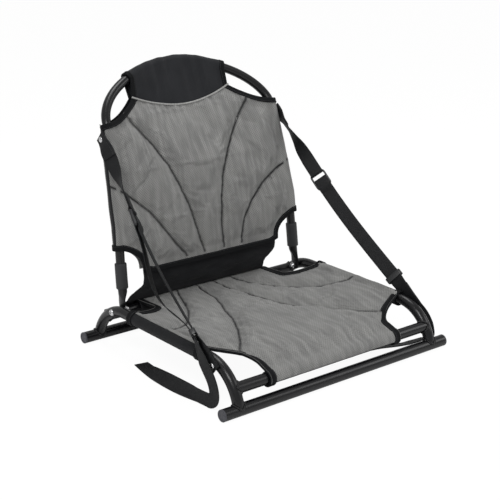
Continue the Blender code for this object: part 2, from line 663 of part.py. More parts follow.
def make_headrest(cloth):
    """The plain panel sleeved over the hoop's crown."""
    steps = 5
    front, rear = [], []
    for i in range(steps + 1):
        front.append([])
        rear.append([])
        for share in [-s for s in HEADREST_COLUMNS[:0:-1]] + HEADREST_COLUMNS:
            x = share * SHOULDER_HALF_WIDTH
            low = piping_z(x) + GAP
            pad_columns(x, low + (crown_z(x) - low) * i / steps, front[-1], rear[-1])
    panel = grid_solid("headrest_panel", front, rear, cloth)
    arch = between(-HEADREST_HALF_WIDTH, HEADREST_HALF_WIDTH, 12) + [HEADREST_HALF_WIDTH]
    points = [(x, hoop_y(crown_z(x)), crown_z(x)) for x in arch]
    combine(panel, make_cutter(tube("headrest_wrap", points, HOOP_WRAP_RADIUS, sides=HOOP_SIDES)), "UNION")
    combine(panel, make_cutter(tube("headrest_room", hoop_path(), HOOP_RADIUS + GAP, sides=HOOP_SIDES)))
    return panel


def make_lower_panel(cloth):
    """The thin panel that runs from the back's lower edge down behind the seat."""
    top = Vector((0, hoop_y(BACK_BOTTOM), BACK_BOTTOM - GAP))
    foot = Vector((0, REAR_CROSS_Y, REAR_CROSS_HEIGHT + WRAP_RADIUS + LOWER_PANEL_THICKNESS))
    half_thickness = Vector((0, LOWER_PANEL_THICKNESS / 2, 0))
    front, rear = [], []
    steps = 10
    for i in range(steps + 1):
        down = i / steps
        y = top.y + (foot.y - top.y) * down ** LOWER_PANEL_CURVE
        z = top.z + (foot.z - top.z) * down
        half = LOWER_PANEL_HALF_WIDTH - LOWER_PANEL_WAIST * math.sin(math.pi * down)
        row = [Vector((x, y, z)) for x in between(-half, half, 6) + [half]]
        front.append([p - half_thickness for p in row])
        rear.append([p + half_thickness for p in row])
    return grid_solid("lower_back_panel", front, rear, cloth)


# Straps

OUT = Vector((1, 0, 0))
SHOULDER = Vector((SHOULDER_X, SHOULDER_Y, SHOULDER_RIVET_HEIGHT))
ANCHOR = Vector((ANCHOR_X, STRAP_RIVET_Y, ANCHOR_Z))
STRAP_SPAN = (ANCHOR - SHOULDER).length
STRAP_DOWN = Vector((0, SHOULDER.z - ANCHOR.z, ANCHOR.y - SHOULDER.y)).normalized()


def strap_point(share):
    """Middle of a taut strap at a share of the way from its shoulder rivet to its anchor rivet."""
    within = min(max(share, 0), 1)
    sag = STRAP_SAG * math.sin(math.pi * within) ** STRAP_SAG_POWER
    bow = STRAP_BOW * math.sin(math.pi * within ** STRAP_BOW_SKEW)
    return SHOULDER + (ANCHOR - SHOULDER) * share + STRAP_DOWN * sag + OUT * bow


BUCKLE_REACH = BUCKLE_LENGTH / 2 + 2 * GAP
BUCKLE_PLACE = strap_point(BUCKLE_SHARE)
BUCKLE_ALONG = (strap_point(BUCKLE_SHARE + BUCKLE_REACH / STRAP_SPAN)
                - strap_point(BUCKLE_SHARE - BUCKLE_REACH / STRAP_SPAN)).normalized()


def mirrored(points, side):
    """Points or directions of the right-hand strap moved to a side."""
    return [(side * p[0], p[1], p[2]) for p in points]


def make_strap(name, side, route, hole, nylon):
    """Webbing along a route with a rivet hole at one place; its flat side faces outwards."""
    strap = strip(name, mirrored(route, side), [OUT] * len(route), nylon, steps=2)
    reach = OUT * side * 2 * WEBBING_THICKNESS
    middle = Vector((side * hole.x, hole.y, hole.z))
    combine(strap, rod(f"{name}_hole", middle - reach, middle + reach, RIVET_RADIUS + HOLE_CLEARANCE))
    return strap


def make_upper_strap(name, side, nylon):
    """Webbing from the shoulder rivet to the buckle's upper slot."""
    straight = BUCKLE_SHARE - (BUCKLE_REACH + 2 * STRAP_END) / STRAP_SPAN
    shares = between(-STRAP_END / STRAP_SPAN, straight, 6)
    route = [strap_point(s) for s in shares]
    route += [BUCKLE_PLACE - BUCKLE_ALONG * reach for reach in (BUCKLE_REACH + STRAP_END, BUCKLE_REACH)]
    return make_strap(name, side, route, SHOULDER, nylon)


def make_load_strap(name, side, nylon):
    """Webbing from the buckle to the rivet on the outer side of a rail."""
    straight = BUCKLE_SHARE + (BUCKLE_REACH + 2 * STRAP_END) / STRAP_SPAN
    end = 1 + STRAP_END / STRAP_SPAN
    route = [BUCKLE_PLACE + BUCKLE_ALONG * reach for reach in (BUCKLE_REACH, BUCKLE_REACH + STRAP_END)]
    route += [strap_point(s) for s in between(straight, end, 10) + [end]]
    return make_strap(name, side, route, ANCHOR, nylon)


def add_block(name, size, place, material=None, corner=0):
    """A box of a size about its own middle, with upright edges rounded by corner, moved to place."""
    block = bmesh.new()
    bmesh.ops.create_cube(block, size=1, matrix=Matrix.Diagonal((*size, 1)))
    if corner:
        upright = [e for e in block.edges if abs(e.verts[0].co.z - e.verts[1].co.z) > GAP]
        bmesh.ops.bevel(block, geom=upright, offset=corner, segments=2, affect="EDGES")
    thing = add_object(name, closed_mesh(name, block), material)
    thing.matrix_world = place
    return thing


def lie_along(along, side, middle):
    """Place of a piece whose x runs along the strap and whose z faces outwards."""
    along = Vector((side * along.x, along.y, along.z))
    across = along.cross(OUT * side).normalized()
    place = Matrix((along, across, along.cross(across))).transposed().to_4x4()
    place.translation = (side * middle.x, middle.y, middle.z)
    return place


def make_buckle(name, side, plastic):
    """Ladder-lock buckle: a frame with a slot for the webbing either side of its bar."""
    place = lie_along(BUCKLE_ALONG, side, BUCKLE_PLACE)
    buckle = add_block(name, (BUCKLE_LENGTH, BUCKLE_WIDTH, BUCKLE_THICKNESS), place, plastic, BUCKLE_CORNER)
    slot = (BUCKLE_LENGTH - 3 * BUCKLE_BAR) / 2
    for label, way in (("upper", -1), ("lower", 1)):
        shift = Matrix.Translation((way * (slot + BUCKLE_BAR) / 2, 0, 0))
        size = (slot, WEBBING_WIDTH + 2 * GAP, BUCKLE_THICKNESS * 2)
        combine(buckle, make_cutter(add_block(f"{name}_{label}_slot", size, place @ shift)))
    return buckle


def tail_point(down, bow, sag):
    """Middle of a tail at a share of the way from the buckle to the keeper."""
    first = BUCKLE_SHARE + (BUCKLE_REACH + STRAP_END) / STRAP_SPAN
    loose = math.sin(math.pi * down) ** 2
    beside = strap_point(first + (KEEPER_SHARE - first) * down)
    return beside + Vector((TAIL_SPACING + bow * loose, 0, -sag * loose))


def tail_route(bow, sag, lay):
    """A tail's route; lay holds its points past the keeper, from the floor below the anchor rivet."""
    beneath = Vector((ANCHOR.x, ANCHOR.y, 0))
    return [tail_point(i / 6, bow, sag) for i in range(7)] + [beneath + Vector(p) for p in lay]


ON_FLOOR = WEBBING_THICKNESS / 2 + GAP
ON_EDGE = WEBBING_WIDTH / 2 + 2 * GAP
LEFT_TAIL = tail_route(LEFT_TAIL_BOW, LEFT_TAIL_SAG, [
    (0.0069, 0.019, 0.074), (0.0074, -0.005, 0.046), (0.0084, -0.012, 0.024), (0.0094, 0.001, ON_EDGE),
    (0.0114, 0.029, ON_EDGE), (0.0129, 0.081, 0.010), (0.0084, 0.141, 0.0045),
    (0.0004, 0.185, ON_FLOOR + GAP), (-0.0046, 0.211, ON_FLOOR)])
LEFT_FLATS = [OUT] * 12 + [(0.85, 0, 0.5), (0.5, 0, 0.85), (0.1, 0, 1), (0, 0, 1)]
RIGHT_TAIL = tail_route(0, 0, [
    (0.0069, 0.021, 0.076), (0.0069, 0.001, 0.050), (0.0054, -0.009, 0.030), (-0.0036, -0.013, 0.016),
    (-0.0216, -0.011, ON_EDGE), (-0.0466, -0.009, ON_EDGE), (-0.0766, -0.007, ON_EDGE),
    (-0.0976, 0.001, ON_EDGE)])
RIGHT_FLATS = [OUT] * 9 + [(0.85, -0.5, 0), (0.3, -1, 0), (0, -1, 0), (0, -1, 0), (-0.2, -1, 0),
                           (-0.3, -1, 0)]


def make_tail(name, side, route, flats, nylon):
    """The free end of the webbing, from the buckle down to the floor."""
    return strip(name, mirrored(route, side), mirrored(flats, side), nylon, steps=4)


def make_keeper(name, side, plastic):
    """Flat loop that holds the tail beside the load strap."""
    step = KEEPER_LENGTH / STRAP_SPAN
    along = strap_point(KEEPER_SHARE + step) - strap_point(KEEPER_SHARE - step)
    along.x = 0
    place = lie_along(along.normalized(), side, strap_point(KEEPER_SHARE) + OUT * TAIL_SPACING / 2)
    width = WEBBING_WIDTH + 2 * KEEPER_ROOM
    depth = TAIL_SPACING + WEBBING_THICKNESS + 2 * TAIL_SLACK
    size = (KEEPER_LENGTH, width + 2 * KEEPER_WALL, depth + 2 * KEEPER_WALL)
    keeper = add_block(name, size, place, plastic)
    combine(keeper, make_cutter(add_block(f"{name}_slot", (KEEPER_LENGTH * 2, width, depth), place)))
    return keeper


def hang_on_pivot(things):
    """Parents the pieces of the backrest to an empty on its hinge line, at their own places."""
    pivot = bpy.data.objects.new("backrest_pivot", None)
    bpy.context.scene.collection.objects.link(pivot)
    pivot.location = (0, PIVOT_Y, PIVOT_Z)
    for thing in things:
        thing.parent = pivot
        thing.matrix_parent_inverse = Matrix.Translation((0, -PIVOT_Y, -PIVOT_Z))


def build():
    """Makes the whole seat."""
    for thing in list(bpy.data.objects):
        bpy.data.objects.remove(thing)
    steel = make_material("black_powder_coat", "191A1C", 0.38, 0.1)
    plastic = make_material("dark_grey_plastic", "3D3D42", 0.6)
    black_plastic = make_material("black_plastic", "17181A", 0.45)
    rubber = make_material("charcoal_rubber", "303133", 0.75)
    stainless = make_material("stainless_steel", "C9CACC", 0.25, 1.0)
    grey_mesh = make_material("grey_mesh_cloth", "747473", 0.85)
    charcoal = make_material("charcoal_cloth", "2D2E30", 0.9)
    black_cloth = make_material("black_cloth", "16171A", 0.9)
    nylon = make_material("black_webbing", "1E2022", 0.7)

    make_foot_tube("front_foot_tube", FRONT_FOOT_Y, steel)
    make_foot_tube("rear_foot_tube", REAR_FOOT_Y, steel)
    make_cross_tube("front_cross_tube", FRONT_CROSS_Y, FRONT_CROSS_HEIGHT, steel)
    make_cross_tube("rear_cross_tube", REAR_CROSS_Y, REAR_CROSS_HEIGHT, steel)
    make_seat_sling(grey_mesh)
    make_lower_panel(black_cloth)
    swinging = [make_hoop(steel), make_back_sling(grey_mesh), make_headrest(charcoal)]
    for side, label in ((-1, "left"), (1, "right")):
        make_end_cap(f"front_{label}_end_cap", side, FRONT_FOOT_Y, plastic)
        make_end_cap(f"rear_{label}_end_cap", side, REAR_FOOT_Y, plastic)
        make_rail(f"{label}_side_rail", side, steel)
        make_pivot_bolt(f"{label}_pivot_bolt", side, stainless)
        make_pivot_nut(f"{label}_pivot_nut", side, stainless)
        make_pivot_spacer(f"{label}_pivot_spacer", side, black_plastic)
        make_rivet(f"{label}_strap_rivet", side, ANCHOR_X, RAIL_X + RAIL_RADIUS - RAIL_WALL,
                   STRAP_RIVET_Y, ANCHOR_Z, stainless)
        make_load_strap(f"{label}_load_strap", side, nylon)
        make_buckle(f"{label}_strap_buckle", side, black_plastic)
        make_keeper(f"{label}_strap_keeper", side, black_plastic)
        inside = upright_x(SHOULDER_RIVET_HEIGHT) + HOOP_RADIUS - HOOP_WALL
        swinging.append(make_rivet(f"{label}_shoulder_rivet", side, SHOULDER_X, inside,
                                   SHOULDER_Y, SHOULDER_RIVET_HEIGHT, stainless))
        swinging.append(make_sleeve(f"{label}_upright_sleeve", side, rubber))
        swinging.append(make_upper_strap(f"{label}_upper_strap", side, nylon))
    make_tail("left_strap_tail", -1, LEFT_TAIL, LEFT_FLATS, nylon)
    make_tail("right_strap_tail", 1, RIGHT_TAIL, RIGHT_FLATS, nylon)
    hang_on_pivot(swinging)


build()
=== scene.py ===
# %% [markdown]
# # A framed kayak seat
# The object is a seat for a kayak: a black steel tube frame with a mesh sling for the seat, a mesh
# back on a hoop that folds forward on two bolts, and two straps that hold the back up. The measured
# frame is loaded first, so that every piece made here goes where the real one sits.

# %% Load the measured frame
import math

import bmesh
import bpy
import numpy as np
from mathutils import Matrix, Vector, noise


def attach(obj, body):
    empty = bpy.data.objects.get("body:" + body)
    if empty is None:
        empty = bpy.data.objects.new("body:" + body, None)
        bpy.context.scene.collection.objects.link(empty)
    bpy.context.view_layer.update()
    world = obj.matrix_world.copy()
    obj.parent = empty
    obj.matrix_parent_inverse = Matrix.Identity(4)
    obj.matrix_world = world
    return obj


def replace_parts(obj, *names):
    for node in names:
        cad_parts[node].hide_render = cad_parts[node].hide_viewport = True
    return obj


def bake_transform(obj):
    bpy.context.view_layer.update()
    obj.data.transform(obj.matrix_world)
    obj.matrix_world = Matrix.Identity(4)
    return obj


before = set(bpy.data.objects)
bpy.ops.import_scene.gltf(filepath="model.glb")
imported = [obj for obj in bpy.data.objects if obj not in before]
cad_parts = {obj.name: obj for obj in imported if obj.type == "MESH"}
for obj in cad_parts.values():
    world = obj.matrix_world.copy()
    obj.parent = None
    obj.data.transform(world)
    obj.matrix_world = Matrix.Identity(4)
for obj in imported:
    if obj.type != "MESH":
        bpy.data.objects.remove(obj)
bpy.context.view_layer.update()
scene = bpy.context.scene
scene.view_settings.view_transform = "Standard"

# %% [markdown]
# ## The camera
# The seat was photographed from the front left and a little above, from about two metres with a
# lens like a short telephoto. Such a long lens keeps the two floor tubes almost parallel. The
# camera has no shift, because the photograph is not cropped to one side.

# %% Place the camera
lens = bpy.data.cameras.new("front_left_camera")
lens.lens = 87.75
lens.sensor_width = 36
camera = bpy.data.objects.new("front_left_camera", lens)
camera.location = (-1.2632, -1.5772, 0.8266)
camera.rotation_euler = (math.radians(71.91), 0, math.radians(-38.65))
scene.collection.objects.link(camera)
scene.camera = camera
print("camera distance in m:", round(camera.location.length, 3))

# %% [markdown]
# ## Colours and nodes
# A colour picked from a screen is stored for the eye, and a renderer counts light, so one function
# turns the usual hex value to linear light. One small function adds a node with its settings and
# its links, which keeps each material short enough to read as a recipe.

# %% Colour and node helpers
def from_hex(text):
    """Linear colour of an sRGB hex value."""
    channels = [int(text[i:i + 2], 16) / 255 for i in (0, 2, 4)]
    return [c / 12.92 if c <= 0.04045 else ((c + 0.055) / 1.055) ** 2.4 for c in channels] + [1]


def add_node(tree, kind, inputs=None, **settings):
    """Adds a node; inputs holds a value or another node's output for each of its sockets."""
    node = tree.nodes.new(kind)
    for key, value in settings.items():
        setattr(node, key, value)
    for socket, value in (inputs or {}).items():
        if isinstance(value, bpy.types.NodeSocket):
            tree.links.new(value, node.inputs[socket])
        else:
            node.inputs[socket].default_value = value
    return node


def calculate(tree, operation, *values):
    """Output of a Math node."""
    return add_node(tree, "ShaderNodeMath", dict(enumerate(values)), operation=operation).outputs[0]


print("mid grey in linear light:", [round(c, 3) for c in from_hex("747473")])

# %% [markdown]
# ## Studio
# The photograph has plain soft light and a white background. The world and the floor show full
# white only to the camera, and a small share of it to glossy surfaces, so the black tubes stay
# black. Three soft lamps give the long thin highlights on the tubes.

# %% Make the world, the floor and the lamps
GLOSS_SHARE = 0.12


def seen_directly(tree):
    """1 for rays from the camera and through glass, a little for rays from gloss, otherwise 0."""
    rays = add_node(tree, "ShaderNodeLightPath").outputs
    gloss = calculate(tree, "MULTIPLY", rays["Is Glossy Ray"], GLOSS_SHARE)
    first = calculate(tree, "MAXIMUM", rays["Is Camera Ray"], gloss)
    return calculate(tree, "MAXIMUM", first, rays["Is Transmission Ray"])


AMBIENT = 0.50
world = bpy.data.worlds.new("white_studio")
world.use_nodes = True
scene.world = world
sky = world.node_tree
level = calculate(sky, "MULTIPLY_ADD", seen_directly(sky), 1 - AMBIENT, AMBIENT)
sky.nodes["Background"].inputs["Color"].default_value = (1, 1, 1, 1)
sky.links.new(level, sky.nodes["Background"].inputs["Strength"])

# Matt white painted board: the shadow stays faint, as in the photograph
board = bpy.data.materials.new("matt_white_board")
board.use_nodes = True
tree = board.node_tree
glow = add_node(tree, "ShaderNodeEmission", {"Color": (1, 1, 1, 1), "Strength": 1.03})
paint = tree.nodes["Principled BSDF"]
paint.inputs["Base Color"].default_value = from_hex("F4F4F4")
paint.inputs["Roughness"].default_value = 0.9
SHADOW_SHARE = 0.08
share = calculate(tree, "MULTIPLY", seen_directly(tree), 1 - SHADOW_SHARE)
mixed = add_node(tree, "ShaderNodeMixShader", {0: share, 1: paint.outputs[0], 2: glow.outputs[0]})
tree.links.new(mixed.outputs[0], tree.nodes["Material Output"].inputs["Surface"])

FLOOR_HALF = 6.0
sheet = bpy.data.meshes.new("studio_floor")
sheet.from_pydata([(x * FLOOR_HALF, y * FLOOR_HALF, 0) for x, y in ((-1, -1), (1, -1), (1, 1), (-1, 1))],
                  [], [(0, 1, 2, 3)])
sheet.materials.append(board)
floor = bpy.data.objects.new("studio_floor", sheet)
scene.collection.objects.link(floor)


def add_lamp(name, place, size, power, aim=(0, 0, 0.2)):
    """A square soft box at a place that faces the seat."""
    light = bpy.data.lights.new(name, "AREA")
    light.size = size
    light.energy = power
    lamp = bpy.data.objects.new(name, light)
    lamp.location = place
    lamp.rotation_euler = (Vector(aim) - Vector(place)).to_track_quat("-Z", "Y").to_euler()
    scene.collection.objects.link(lamp)


add_lamp("key_softbox", (-1.5, -1.1, 2.1), 0.9, 26)
add_lamp("fill_softbox", (1.9, -1.6, 1.5), 1.2, 12)
add_lamp("top_softbox", (0.2, 0.6, 2.4), 1.0, 16)

# %% [markdown]
# ## Hard finishes
# The frame is steel with a satin-gloss powder coat. Such a coat flows out almost smooth and keeps a
# faint orange peel about a millimetre across. The end caps are moulded polyethylene, the sleeves
# extruded rubber, the buckles moulded acetal and the bolts and rivets stainless steel.

# %% Make the hard materials
def start_material(name, colour, roughness, **sockets):
    """A Principled material with its plain values set on the shader itself."""
    material = bpy.data.materials.new(name)
    material.use_nodes = True
    shader = material.node_tree.nodes["Principled BSDF"]
    shader.inputs["Base Color"].default_value = from_hex(colour)
    shader.inputs["Roughness"].default_value = roughness
    for socket, value in sockets.items():
        shader.inputs[socket.replace("_", " ")].default_value = value
    return material, material.node_tree, shader


def add_bump(tree, shader, height, distance, strength=1.0):
    """Sends a height in 0 to 1 to the shader's normal, as relief that is distance metres deep."""
    bump = add_node(tree, "ShaderNodeBump", {"Height": height, "Distance": distance, "Strength": strength})
    tree.links.new(bump.outputs[0], shader.inputs["Normal"])


def grain(tree, size, detail=2.0):
    """Noise whose blotches are about size metres across, on Object coordinates."""
    place = add_node(tree, "ShaderNodeTexCoord").outputs["Object"]
    return add_node(tree, "ShaderNodeTexNoise", {"Vector": place, "Scale": 1 / size, "Detail": detail})


WORN_PATCH = 40  # patches of wear, in grains


def grained(name, colour, roughness, size, depth, spread=0.06, **sockets):
    """A moulded or coated surface: fine relief, and roughness that wanders a little."""
    material, tree, shader = start_material(name, colour, roughness, **sockets)
    add_bump(tree, shader, grain(tree, size).outputs[0], depth)
    patches = grain(tree, WORN_PATCH * size, 4.0).outputs[0]
    worn = add_node(tree, "ShaderNodeMapRange", {"Value": patches, "From Min": 0.3, "From Max": 0.7,
                                                 "To Min": roughness - spread, "To Max": roughness + spread})
    tree.links.new(worn.outputs[0], shader.inputs["Roughness"])
    return material


# Orange peel gives the highlights a slightly soft, broken edge
powder_coat = grained("satin_black_powder_coat", "0E0E10", 0.27, 0.0014, 0.00006, Specular_IOR_Level=0.36)
# Moulded caps are matt and a touch violet against the coat
cap_plastic = grained("moulded_grey_polyethylene", "3B3B41", 0.5, 0.0009, 0.00005)
sleeve_rubber = grained("extruded_charcoal_rubber", "232426", 0.62, 0.0008, 0.00008)
buckle_plastic = grained("moulded_black_acetal", "151618", 0.38, 0.0007, 0.00003)
stainless = grained("tumbled_stainless_steel", "CFCFD0", 0.2, 0.0006, 0.00002, Metallic=1.0)
print("hard finishes:", [m.name for m in (powder_coat, cap_plastic, sleeve_rubber, buckle_plastic, stainless)])

# %% [markdown]
# ## Cloth finishes
# Seat and back are air mesh, a knitted polyester with a fine diamond pattern. Its threads are about
# a millimetre apart, too fine for this picture, so the pattern is drawn at 3 mm. The pads carry an
# attribute named seam, which is 1 on a sewn line, and there the mesh colour is painted dark, as
# painted shade for the groove that is pulled down into shadow. Webbing and tape read their own map,
# whose first value runs along the length.

# %% Make the cloth materials
def waves(tree, vector, period, turn=0.0):
    """Bands of 0 to 1 with a period in metres, turned about the map's upright axis."""
    turned = add_node(tree, "ShaderNodeMapping", {"Vector": vector, "Rotation": (0, 0, turn)})
    scale = math.tau / 20 / period
    bands = add_node(tree, "ShaderNodeTexWave",
                     {"Vector": turned.outputs[0], "Scale": scale, "Distortion": 0.0})
    return bands.outputs["Fac"]


def blend_colours(tree, factor, first, second):
    """Mixes two hex colours or outputs by a factor."""
    first, second = [from_hex(c) if isinstance(c, str) else c for c in (first, second)]
    return add_node(tree, "ShaderNodeMix", {0: factor, 6: first, 7: second}, data_type="RGBA").outputs[2]


def woven(name, light, dark, roughness, periods, turns, depth, cloud, cloud_size, highlight_streak=None, **sockets):
    """Cloth with two sets of threads, patches that are a little darker and lighter streaks of painted
    highlight.
    """
    material, tree, shader = start_material(name, light, roughness, **sockets)
    cloth_map = add_node(tree, "ShaderNodeTexCoord").outputs["UV"]
    one, other = [waves(tree, cloth_map, period, turn) for period, turn in zip(periods, turns)]
    threads = calculate(tree, "MULTIPLY", one, other)
    patch = add_node(tree, "ShaderNodeMapRange", {"Value": grain(tree, cloud_size, 3.0).outputs[0],
                                                  "From Min": 0.35, "From Max": 0.65}).outputs[0]
    clouded = blend_colours(tree, patch, light, cloud)
    # Painted highlight: lighter streaks, stretched along the map, stand in for the light on soft wrinkles.
    if highlight_streak:
        streak_coords = add_node(tree, "ShaderNodeMapping", {"Vector": cloth_map, "Scale": (1, 0.16, 1)}).outputs[0]
        highlight_noise = add_node(tree, "ShaderNodeTexNoise", {"Vector": streak_coords, "Scale": 110, "Detail": 3.0}).outputs[0]
        share = add_node(tree, "ShaderNodeMapRange", {"Value": highlight_noise, "From Min": 0.42, "From Max": 0.68})
        clouded = blend_colours(tree, share.outputs[0], clouded, highlight_streak)
    colour = blend_colours(tree, threads, clouded, dark)
    # Painted shade: the seam attribute darkens the colour on the sewn lines, where the groove lies in shadow.
    seam = add_node(tree, "ShaderNodeAttribute", attribute_name="seam").outputs["Fac"]
    tree.links.new(blend_colours(tree, seam, colour, "1D1D1E"), shader.inputs["Base Color"])
    add_bump(tree, shader, threads, -depth)
    return material


EIGHTH = math.pi / 4
# Air mesh scatters light evenly, so it looks the same mid grey from every side
# Its streak colour paints the highlights of soft wrinkles on the mesh.
air_mesh = woven("grey_knitted_air_mesh", "868684", "5E5E5D", 0.85, (0.003, 0.003), (EIGHTH, -EIGHTH),
                 0.0005, "777776", 0.04, highlight_streak="939391", Sheen_Weight=0.15, Specular_IOR_Level=0.2)
# Plain woven polyester: darker, with a finer thread and a soft sheen on its folds
charcoal_cloth = woven("charcoal_plain_weave_polyester", "28292C", "1A1B1D", 0.85, (0.0016, 0.0016),
                       (0.0, math.pi / 2), 0.0002, "222326", 0.03, Sheen_Weight=0.08, Specular_IOR_Level=0.15)
black_cloth = woven("black_plain_weave_polyester", "18191C", "0E0F11", 0.85, (0.0016, 0.0016),
                    (0.0, math.pi / 2), 0.0002, "131417", 0.04, Sheen_Weight=0.06, Specular_IOR_Level=0.25)
# Grosgrain tape has ribs straight across it, about a millimetre apart
binding_tape = woven("black_grosgrain_tape", "141517", "0A0B0C", 0.8, (0.0012, 0.012), (0.0, math.pi / 2),
                     0.0002, "101113", 0.02, Specular_IOR_Level=0.15)
piping_cloth = woven("light_grey_piping", "A4A4A2", "878785", 0.7, (0.0016, 0.006), (EIGHTH, 0.0), 0.0002,
                     "979795", 0.02, Specular_IOR_Level=0.3)
# Nylon webbing shines a little along its ribs, which run its length about 2 mm apart
webbing_nylon = woven("black_nylon_webbing", "17181A", "0B0B0D", 0.6, (0.0022, 0.0014), (math.pi / 2, 0.0),
                      0.0003, "111214", 0.03, Specular_IOR_Level=0.25)
thread = start_material("dark_bonded_thread", "2E2F31", 0.5)[0]
print("cloth finishes:", [m.name for m in bpy.data.materials if "weave" in m.name or "mesh" in m.name])

# %% [markdown]
# ## The sizes that every piece shares
# The seat's own sizes are repeated here in metres, because the fabric has to follow the same tubes.
# The seat's front is towards -Y. The rails are bent to an arc at each end, and the hoop leans back in
# three straight runs, so both are written as rules and not as lists of points.

# %% Write down the frame's sizes and rules
FOOT_RADIUS, RAIL_RADIUS, HOOP_RADIUS = 0.010, 0.0095, 0.008
FOOT_HALF = 0.242
FRONT_FOOT_Y, REAR_FOOT_Y = -0.234249, 0.167751
RAIL_X, RAIL_HEIGHT = 0.211, 0.074
FRONT_BEND, REAR_BEND = 0.075, 0.090
FRONT_CENTRE, REAR_CENTRE = (-0.160060, -0.001), (0.081588, -0.016)
FRONT_CROSS, REAR_CROSS = (-0.222197, 0.041), (0.138770, 0.0535)
PIVOT = Vector((0, 0.109751, 0.069481))
UPRIGHT_HALF, SHOULDER_HALF = 0.1945, 0.179
SHOULDER_HEIGHT, CROWN_HEIGHT, CROWN_ROUNDNESS = 0.381, 0.466, 1.85
LEANS = [math.radians(a) for a in (6.0, 14.6, 38.5)]
BENDS = (0.215, 0.385)
LUG_X, LUG_THICKNESS, LUG_WIDTH = 0.1974, 0.0046, 0.0195
HEM_FRONT, HEM_REAR = -0.141249, 0.054751
FRONT_NOTCH, REAR_NOTCH = 0.062, 0.033
SEAT_FRONT_HALF, SEAT_REAR_HALF = 0.142, 0.146
HEM_RADIUS = 0.0120
MM = 0.001


def clamp(value):
    """The value kept between 0 and 1."""
    return min(max(value, 0.0), 1.0)


def hoop_y(z):
    """Depth of the hoop's axis at height z."""
    y = PIVOT.y + (min(z, BENDS[0]) - PIVOT.z) * math.tan(LEANS[0])
    y += max(min(z, BENDS[1]) - BENDS[0], 0) * math.tan(LEANS[1])
    return y + max(z - BENDS[1], 0) * math.tan(LEANS[2])


def upright_x(z):
    """Half the distance between the uprights' axes at height z."""
    share = (z - PIVOT.z) / (SHOULDER_HEIGHT - PIVOT.z)
    return UPRIGHT_HALF - (UPRIGHT_HALF - SHOULDER_HALF) * share ** 2


def crown_z(x):
    """Height of the hoop's axis over the shoulders at x."""
    share = 1 - min(abs(x) / SHOULDER_HALF, 1) ** CROWN_ROUNDNESS
    return SHOULDER_HEIGHT + (CROWN_HEIGHT - SHOULDER_HEIGHT) * share ** (1 / CROWN_ROUNDNESS)


def rail_z(y):
    """Height of a rail's axis at y."""
    for centre, bend, side in ((FRONT_CENTRE, FRONT_BEND, -1), (REAR_CENTRE, REAR_BEND, 1)):
        past = side * (y - centre[0])
        if past > 0:
            return centre[1] + math.sqrt(max(bend ** 2 - past ** 2, 0))
    return RAIL_HEIGHT


print("hoop leans back by mm:", round(1000 * (hoop_y(CROWN_HEIGHT) - PIVOT.y)))

# %% [markdown]
# ## Frame tubes
# A bent tube is a circle carried along a path, so it is a rule, and a small Geometry Nodes tree
# makes all of them: a curve goes in with a diameter, and a smooth capped tube comes out. The result
# is turned into a plain mesh at once. The hoop's two ends are then pressed flat in the mesh, as a
# press does to the real tube, to make the lugs for the bolts.

# %% Build the tube tree
def new_tree(name, **numbers):
    """A Geometry Nodes tree that takes a path, some numbers and a finish, with its inputs' sockets."""
    tree = bpy.data.node_groups.new(name, "GeometryNodeTree")
    inputs = [("Path", "Geometry"), *((label, type(n).__name__.title()) for label, n in numbers.items()),
              ("Finish", "Material")]
    for label, kind in inputs:
        socket = tree.interface.new_socket(label, in_out="INPUT", socket_type="NodeSocket" + kind)
        if label in numbers:
            socket.default_value = numbers[label]
    tree.interface.new_socket("Result", in_out="OUTPUT", socket_type="NodeSocketGeometry")
    return tree, add_node(tree, "NodeGroupInput").outputs


def close_tree(tree, geometry, finish):
    """Ends a tree: its geometry is shaded smooth, made real and given its finish."""
    smooth = add_node(tree, "GeometryNodeSetShadeSmooth", {0: geometry})
    real = add_node(tree, "GeometryNodeRealizeInstances", {0: smooth.outputs[0]})
    painted = add_node(tree, "GeometryNodeSetMaterial", {"Geometry": real.outputs[0], "Material": finish})
    add_node(tree, "NodeGroupOutput", {0: painted.outputs[0]})


tube_tree, given = new_tree("bent_tube", Diameter=0.019, Sides=32)
radius = calculate(tube_tree, "MULTIPLY", given["Diameter"], 0.5)
circle = add_node(tube_tree, "GeometryNodeCurvePrimitiveCircle",
                  {"Resolution": given["Sides"], "Radius": radius})
skin = add_node(tube_tree, "GeometryNodeCurveToMesh",
                {"Curve": given["Path"], "Profile Curve": circle.outputs["Curve"], "Fill Caps": True})
close_tree(tube_tree, skin.outputs[0], given["Finish"])


def add_object(name, mesh):
    """A new object in the scene."""
    thing = bpy.data.objects.new(name, mesh)
    scene.collection.objects.link(thing)
    return thing


def run_tree(name, tree, paths, **values):
    """Feeds paths to a tree and returns its result as a plain mesh object."""
    curve = bpy.data.curves.new(name + "_path", "CURVE")
    curve.dimensions = "3D"
    for path in paths:
        spline = curve.splines.new("POLY")
        spline.points.add(len(path) - 1)
        spline.points.foreach_set("co", [c for p in path for c in (*p, 1)])
    guide = add_object(name + "_path", curve)
    nodes = guide.modifiers.new(tree.name, "NODES")
    nodes.node_group = tree
    for socket in tree.interface.items_tree:
        if socket.name in values:
            nodes[socket.identifier] = values[socket.name]
    graph = bpy.context.evaluated_depsgraph_get()
    mesh = bpy.data.meshes.new_from_object(guide.evaluated_get(graph), depsgraph=graph)
    bpy.data.objects.remove(guide)
    mesh.name = name
    return add_object(name, mesh)


